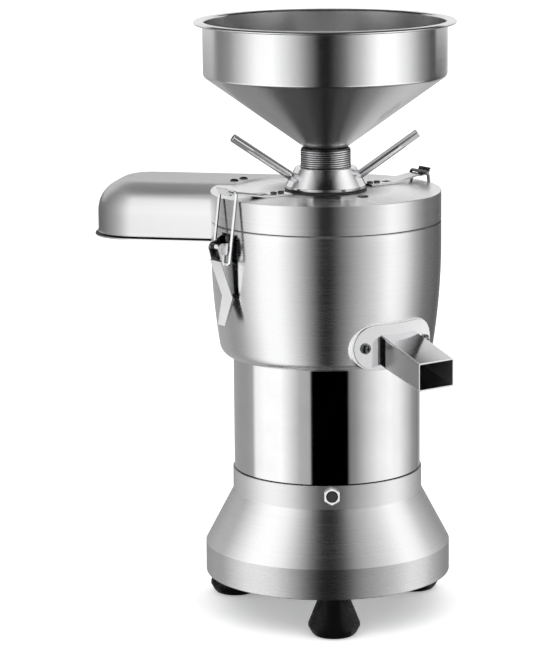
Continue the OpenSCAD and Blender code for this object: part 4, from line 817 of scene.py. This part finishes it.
def make_latches():
    run, rise = BAIL_TOP_R - BAIL_FOOT_R, BAIL_TOP_Z - BAIL_FOOT_Z
    length = math.hypot(run, rise)
    lean = Matrix.Rotation(math.atan2(run, rise), 4, "Y")
    path = rounded([(BAIL_HOOK, 0), (BAIL_HALF, 0), (BAIL_HALF, length), (-BAIL_HALF, length),
                    (-BAIL_HALF, 0), (-BAIL_HOOK, 0)], [0, 2.6, 3.4, 3.4, 2.6, 0], closed=False, steps=7)
    for name, angle in zip(("left", "right"), LATCH_ANGLES):
        refined(name + "_lever", name + "_lever", "latch_steel", 0.4, 3)
        foot = turned_to(angle, at=(BAIL_FOOT_R, 0, BAIL_FOOT_Z)) @ lean
        bail = wire([(0, *p) for p in path], BAIL_WIRE_R, foot)
        piece(name + "_bail_wire", bail, name + "_bail", [name + "_bail"], "latch_wire", 50)
    refined("lid_straps", "housing", "latch_steel")
    refined("latch_brackets", "housing", "bracket_steel")


make_latches()


# Adjusting ring, feed tube and hopper

RING_BORE_R, RING_HUB_R = 23.7, 29.5
HANDLE_FOOT_R, HANDLE_FOOT_Z, HANDLE_TIP_R = 32.55, 412.7, 87
HANDLE_TILT, HANDLE_R, HANDLE_SUNK = 34.5, 4, 6
THREAD_PITCH, THREAD_LOW, THREAD_HIGH, TUBE_BORE_R = 2.0, 400.0, TUBE_TOP - 0.6, 18.8
STONE_FLANGE_R, STONE_FLANGE_Z, STONE_FLANGE_TOP = 48, 341.5, 347.5
SPIGOT_R, SPIGOT_Z, HOPPER_ROOT_R, HOPPER_SHEET = 18.5, 416, 20.8, 1.2
HOPPER_LIP_R, BEAD = 118, 1.5


def make_ring():
    side = rounded([(RING_BORE_R, HUB_Z), (RING_HUB_R, HUB_Z), (RING_HUB_R, RING_Z), (RING_R, RING_Z),
                    (RING_R, RING_CONE_Z), (RING_TOP_R, RING_TOP), (RING_BORE_R, RING_TOP)],
                   [0.3, 0.3, 0.3, 0.6, 1.0, 0.9, 0.5])
    piece("grinding_ring", lathe(side, 192), "adjusting_ring", ["adjusting_ring"], "polished_ring")
    length = (HANDLE_TIP_R - HANDLE_FOOT_R) / math.cos(math.radians(HANDLE_TILT))
    rod = rounded([(NEAR_AXIS, -HANDLE_SUNK), (HANDLE_R, -HANDLE_SUNK), (HANDLE_R, length),
                   (NEAR_AXIS, length)], [0, 0.3, 0.9, 0])
    foot = (HANDLE_FOOT_R, 0, HANDLE_FOOT_Z)
    rods = [lathe(rod, 40, turned_to(a, HANDLE_TILT, foot) @ ALONG_X) for a in HANDLE_ANGLES]
    piece("handle_bars", joined(*rods), "adjusting_ring", ["ring_handles"], "handle_steel")


def thread_r(angle, z):
    """The feed tube's outer radius: a helical thread that fades out at the top."""
    turn = (z / THREAD_PITCH - angle / math.tau) % 1.0
    rise = min(1.0, max(0.0, 2.2 * (1 - abs(2 * turn - 1)) - 0.45))
    fade = min(1.0, max(0.0, (THREAD_HIGH - z) / 1.2))
    return TUBE_ROOT + (TUBE_R - TUBE_ROOT) * rise * fade


def make_tube(around=96, step=0.2):
    """The feed tube: a flange that carries the upper stone and a thread on the outside."""
    rows = int(round((THREAD_HIGH - THREAD_LOW) / step))
    foot = ((TUBE_BORE_R, STONE_FLANGE_Z), (STONE_FLANGE_R, STONE_FLANGE_Z),
            (STONE_FLANGE_R, STONE_FLANGE_TOP - 0.5), (STONE_FLANGE_R - 0.5, STONE_FLANGE_TOP),
            (TUBE_ROOT, STONE_FLANGE_TOP), (TUBE_ROOT, THREAD_LOW - 0.1))
    rings = [circle([r] * around, z) for r, z in foot]
    for row in range(rows + 1):
        z = THREAD_LOW + (THREAD_HIGH - THREAD_LOW) * row / rows
        rings.append(circle([thread_r(math.tau * k / around, z) for k in range(around)], z))
    mouth = ((TUBE_ROOT - 0.1, TUBE_TOP - 0.4), (TUBE_ROOT - 0.6, TUBE_TOP), (TUBE_BORE_R + 0.4, TUBE_TOP),
             (TUBE_BORE_R, TUBE_TOP - 0.4))
    rings += [circle([r] * around, z) for r, z in mouth]
    piece("threaded_tube", loops(rings, endless=True), "feed_tube", ["feed_tube"], "cut_thread", 50)


def make_hopper():
    under, wall, bore = HOPPER_TOP - HOPPER_SHEET, HOPPER_R - HOPPER_SHEET, SPIGOT_R - HOPPER_SHEET
    outer = rounded([(SPIGOT_R, SPIGOT_Z), (SPIGOT_R, HOPPER_Z), (HOPPER_ROOT_R, HOPPER_Z),
                     (HOPPER_R, CREASE_Z), (HOPPER_R, under), (HOPPER_BEAD_R, under)],
                    [0, 0.4, 0.8, 4.5, 1.6, 0], closed=False, steps=8)
    bead = [(HOPPER_BEAD_R + BEAD * math.cos(a), HOPPER_TOP - BEAD + BEAD * math.sin(a))
            for a in (math.radians(-60 + 15 * k) for k in range(11))]
    inner = rounded([(HOPPER_LIP_R, HOPPER_TOP), (wall, HOPPER_TOP), (wall, CREASE_Z + 0.5),
                     (HOPPER_ROOT_R - 0.8, HOPPER_Z + 0.9), (bore, HOPPER_Z - 1), (bore, SPIGOT_Z)],
                    [0, 2.2, 7, 1.5, 1, 0], closed=False, steps=8)
    piece("spun_hopper", lathe([*outer, *bead, *inner], 256), "hopper", ["hopper"], "spun_hopper", 40)


make_ring()
make_tube()
make_hopper()


# Electrics

def make_electrics():
    refined("breaker_nut", "housing", "nut_steel", 0.9, 3)
    refined("switch_housing", "housing", "black_plastic", 0.5, 3)
    refined("power_rocker", "power_rocker", "red_plastic", 0.4, 3)
    refined("cord_gland", "housing", "black_plastic", 0.5, 3)


make_electrics()

# The CAD nodes that stay take a finish by their slot
for node, obj in frame["nodes"].items():
    if not obj.hide_render:
        finish = FINISH[SLOT_OF[node]]
        if not obj.material_slots:
            obj.data.materials.append(finish)
        for place in obj.material_slots:
            place.material = finish


# Studio: a pale floor, soft lamps, and cards and tents that only reflections see; sizes are in metres

# Each tent is a cylinder about the motor axis that lights one kind of surface.
# Its levels go by the angle from the camera's side, in degrees, and were set against the photograph.
TENTS = {
    "sleeve": ((-180, 0.5), (-150, 0.36), (-128, 0.33), (-112, 0.34), (-101, 0.4), (-95, 0.98), (-80, 1.12),
               (-56, 1.12), (-44, 0.8), (-32, 0.47), (-20, 0.42), (-18, 0.0), (24, 0.0), (27, 0.2), (34, 0.3),
               (48, 0.62), (64, 0.92), (80, 1.06), (96, 0.96), (112, 0.62), (128, 0.33), (146, 0.22),
               (164, 0.5), (180, 0.5)),
    "brushed": ((-180, 0.44), (-150, 0.4), (-128, 0.38), (-112, 0.3), (-98, 0.38), (-80, 0.75), (-66, 1.1),
                (-46, 1.1), (-32, 0.72), (-16, 0.24), (-6, 0.0), (5, 0.0), (16, 0.16), (32, 0.44), (48, 0.7),
                (64, 1.1), (80, 0.9), (96, 0.42), (112, 0.18), (128, 0.14), (144, 0.1), (162, 0.2),
                (180, 0.44)),
    "base": ((-180, 0.33), (-160, 0.33), (-144, 0.38), (-128, 0.46), (-112, 0.48), (-96, 0.8), (-80, 1.12),
             (-64, 1.15), (-48, 0.98), (-32, 0.52), (-16, 0.12), (-6, 0.0), (6, 0.0), (16, 0.05), (32, 0.36),
             (48, 0.55), (64, 0.78), (80, 1.12), (96, 1.05), (112, 0.62), (128, 0.42), (144, 0.3), (160, 0.3),
             (180, 0.33)),
    "hopper": ((-180, 0.42), (-160, 0.4), (-144, 0.37), (-128, 0.38), (-112, 0.2), (-96, 0.3), (-80, 0.67),
               (-64, 1.12), (-48, 1.2), (-32, 0.76), (-16, 0.27), (-5, 0.0), (4, 0.0), (16, 0.14), (32, 0.6),
               (48, 1.2), (64, 1.2), (80, 0.82), (96, 0.32), (112, 0.09), (128, 0.05), (144, 0.2), (160, 0.5),
               (180, 0.42)),
    "ring": ((-180, 0.6), (-150, 0.5), (-128, 0.22), (-117, 0.18), (-103, 0.35), (-88, 0.8), (-73, 1.0),
             (-56, 0.6), (-38, 0.19), (-26, 0.03), (-15, 0.0), (20, 0.0), (28, 0.06), (38, 0.26), (56, 0.8),
             (73, 1.1), (88, 1.1), (103, 0.78), (117, 0.4), (130, 0.33), (150, 0.45), (180, 0.6)),
    "latch": ((-180, 0.02), (-145, 0.05), (-126, 0.7), (-105, 0.9), (-80, 0.9), (-40, 1.1), (30, 1.1),
              (55, 0.6), (80, 0.42), (100, 0.35), (125, 0.1), (140, 0.03), (180, 0.02)),
    "hood": ((-180, 0.1), (-120, 0.12), (-100, 0.22), (-80, 0.35), (-62, 0.55), (-44, 1.05), (60, 1.1),
             (90, 0.6), (120, 0.1), (180, 0.1)),
    "spout": ((-180, 0.9), (-150, 0.6), (-130, 0.24), (-112, 0.18), (-95, 0.18), (-60, 0.2), (-15, 0.22),
              (12, 0.42), (28, 0.75), (60, 0.82), (110, 0.95), (180, 0.9)),
    "fitting": ((-180, 0.04), (-160, 0.1), (-140, 0.3), (-117, 0.18), (-103, 0.35), (-88, 0.8), (-73, 0.98),
                (-56, 0.6), (-38, 0.19), (-26, 0.03), (-15, 0.0), (20, 0.0), (28, 0.06), (38, 0.26),
                (56, 0.8), (73, 1.1), (88, 1.1), (103, 0.78), (117, 0.4), (140, 0.34), (160, 0.1),
                (180, 0.04)),
    "handle": ((-180, 0.2), (-140, 0.3), (-110, 0.6), (-70, 0.95), (-25, 0.7), (-10, 0.15), (2, 0.04),
               (12, 0.35), (22, 0.8), (60, 1.0), (90, 0.9), (130, 0.4), (180, 0.2)),
}
UNDER_HOPPER = ((-180, 0.27), (-118, 0.27), (-89, 0.24), (-71, 0.25), (-58, 0.2), (-50, 0.085), (-44, 0.06),
                (-35, 0.06), (-25, 0.065), (-12, 0.035), (0, 0.014), (10, 0.03), (18, 0.065), (25, 0.05),
                (35, 0.13), (47, 0.22), (54, 0.27), (60, 0.4), (71, 0.48), (89, 0.58), (118, 0.5),
                (180, 0.45))
TENT_PEAK, TENT_SPAN = 1.2, (-1.2, 2.2)
TENT_SPANS = {"hood": (-0.25, 2.2), "hopper": (-0.2, 0.72), "ring": (0.45, 2.2)}
RECEIVERS = {kind: bpy.data.collections.new("lit_by_" + kind) for kind in (*TENTS, "back")}
LIT_BY = {"turned_base": "base", "turned_chamber": "brushed", "turned_lid": "brushed",
          "spun_hopper": "hopper", "mirror_sleeve": "sleeve", "satin_hood": "hood", "polished_spout": "spout",
          "folded_chute": "spout", "latch_steel": "latch", "bracket_steel": "latch", "latch_wire": "latch",
          "nut_steel": "latch", "polished_ring": "ring", "handle_steel": "handle"}
BACKED = ("turned_lid", "spun_hopper", "polished_ring", "polished_spout", "folded_chute", "latch_steel",
          "latch_wire")
FLOOR_CORNERS = ((-6, -4), (6, -4), (6, 12), (-6, 12))
FLOOR_DEPTH, FLOOR_GLOW = 0.005, 0.24
AMBIENT, SKY_LOW, SKY_HIGH = 1.1, 0.05, 0.12
LAMPS = (("key", (-0.9, -1.2, 1.9), 4), ("fill", (1.2, -0.9, 1.7), 3))
LAMP_SIZE, LAMP_AIM = 1.4, (0, 0, 0.2)


def card(*rows, steps=48):
    """A curved card about the axis: each row has a radius, a height and two angles from the camera's side."""
    verts = []
    for radius, z, start, end in rows:
        arc = [math.radians(start + (end - start) * k / steps) for k in range(steps + 1)]
        verts += [Vector((radius * math.cos(a), radius * math.sin(a), z)) for a in arc]
    first = [row * (steps + 1) + k for row in range(len(rows) - 1) for k in range(steps)]
    return verts, [(k, k + 1, steps + 2 + k, steps + 1 + k) for k in first]


def strip(start, end, radius, low, high):
    """An upright card between two angles and two heights."""
    return card((radius, low, start, end), (radius, high, start, end))


def reflector(name, build, strength, kind=None, see_through=False, one_sided=False, levels=None):
    """A card that only reflections see, and only on one kind of surface where a kind is given.

    levels gives its brightness by the angle from the camera's side, and strength is then the brightest.
    """
    obj = new_object(name, build)
    obj.matrix_world = Matrix.Translation(AXIS) @ Matrix.Rotation(math.radians(CAMERA_SIDE), 4, "Z")
    material = bpy.data.materials.new(name)
    material.use_nodes = True
    material.cycles.emission_sampling = "NONE"
    n = Nodes(material.node_tree)
    n.tree.nodes.clear()
    glow = n.node("Emission", {"Color": (1, 1, 1, 1), "Strength": strength})
    if levels:
        sweep = n.node("TexGradient", {0: n.node("TexCoord").outputs["Object"]}, gradient_type="RADIAL")
        stops = [(0.5 + angle / 360, [level / strength] * 3) for angle, level in levels]
        n.plug(n.tint(sweep.outputs["Fac"], *stops), glow.inputs["Color"])
    shader = glow.outputs[0]
    if see_through:
        shader = n.node("AddShader", {0: n.node("BsdfTransparent").outputs[0], 1: shader}).outputs[0]
    if one_sided:
        back, clear = n.node("NewGeometry").outputs["Backfacing"], n.node("BsdfTransparent").outputs[0]
        shader = n.node("MixShader", {0: back, 1: shader, 2: clear}).outputs[0]
    n.node("OutputMaterial", {"Surface": shader})
    obj.data.materials.append(material)
    obj.visible_camera = obj.visible_diffuse = obj.visible_shadow = obj.visible_transmission = False
    obj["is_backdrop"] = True
    if kind:
        obj.light_linking.receiver_collection = RECEIVERS[kind]


def make_reflections():
    name_of = {material: name for name, material in FINISH.items()}
    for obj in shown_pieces():
        finish = name_of.get(obj.data.materials[0])
        RECEIVERS[LIT_BY.get(finish, "fitting")].objects.link(obj)
        if finish in BACKED:
            RECEIVERS["back"].objects.link(obj)
    for place, (kind, levels) in enumerate(TENTS.items()):
        around = strip(-180, 180, 1.0 + 0.01 * place, *TENT_SPANS.get(kind, TENT_SPAN))
        reflector(kind + "_tent", around, TENT_PEAK, kind, see_through=True, levels=levels)
    reflector("outer_shroud", strip(-180, 180, 1.3, -1.6, 2.6), 0.0)
    reflector("back_card", strip(120, 240, 0.9, 0.47, 1.02), 0.8, "back")
    reflector("hood_card", strip(120, 240, 0.88, 0.47, 1.02), 0.58, "hood", see_through=True)
    reflector("hood_veil", strip(110, 250, 0.87, 1.02, 2.6), 0.2, "hood", see_through=True)
    for side, start in (("left", -110), ("right", 20)):
        crease = strip(start, start + 90, 0.95, -0.12, 0.12)
        reflector(side + "_crease_card", crease, 0.7, "hopper", see_through=True)
    reflector("dark_flag", strip(110, 250, 0.9, 1.02, 2.6), 0.03)
    # A card under the hopper, seen only by reflections: its levels paint the reflection seen in the hopper's
    # cone
    # It falls a little outwards, which turns its seen side up to the hopper
    under = card((0.025, 0.4385, -180, 180), (0.15, 0.4375, -180, 180), steps=96)
    reflector("under_hopper", under, TENT_PEAK, one_sided=True, levels=UNDER_HOPPER)
    # A black card round the ring's front, seen only by reflections: it paints a dark reflection of the ring
    # on the lid
    reflector("ring_flag", strip(-16, 19, 0.0425, 0.4012, 0.414), 0.0, one_sided=True)


def make_floor():
    """A pale floor that looks white to the camera and lights nothing by itself."""
    slab = loops([[(x, y, z) for x, y in FLOOR_CORNERS] for z in (0, -FLOOR_DEPTH)], Matrix.Translation(AXIS))
    floor = new_object("floor", slab)
    f = Finish("pale_floor")
    glow = f.number("MULTIPLY", f.node("LightPath").outputs["Is Camera Ray"], FLOOR_GLOW)
    pale = f.tint(f.noise(f.coords, 3.0), (0.3, (0.95, 0.95, 0.95)), (0.7, (0.97, 0.97, 0.97)))
    f.set(Base_Color=pale, Roughness=0.9, Specular_IOR_Level=0.0, Emission_Color=(1, 1, 1, 1),
          Emission_Strength=glow)
    floor.data.materials.append(f.material)
    floor.visible_glossy = False
    floor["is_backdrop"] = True


def make_world():
    """White to the camera, dim to reflections and even to the rest."""
    world = bpy.data.worlds.new("studio")
    bpy.context.scene.world = world
    world.use_nodes = True
    n = Nodes(world.node_tree)
    path = n.node("LightPath").outputs
    rise = n.node("SeparateXYZ", {0: n.node("TexCoord").outputs["Generated"]}).outputs[2]
    sky = n.tint(n.spread(rise, 0.0, 1.0, -1.0, 1.0), (0.42, [SKY_LOW] * 3), (0.6, [SKY_HIGH] * 3))
    soft = n.mix(path["Is Glossy Ray"], [AMBIENT] * 3, sky)
    n.plug(n.mix(path["Is Camera Ray"], soft, (1, 1, 1)), n.tree.nodes["Background"].inputs["Color"])


def make_lamps():
    for name, place, power in LAMPS:
        data = bpy.data.lights.new(name, "AREA")
        data.size, data.energy = LAMP_SIZE, power
        lamp = bpy.data.objects.new(name, data)
        lamp.location = AXIS + Vector(place)
        lamp.rotation_euler = (AXIS + Vector(LAMP_AIM) - lamp.location).to_track_quat("-Z", "Y").to_euler()
        lamp.visible_glossy = False
        bpy.context.scene.collection.objects.link(lamp)


make_floor()
make_reflections()
make_world()
make_lamps()
bpy.context.scene.view_settings.view_transform = "Standard"
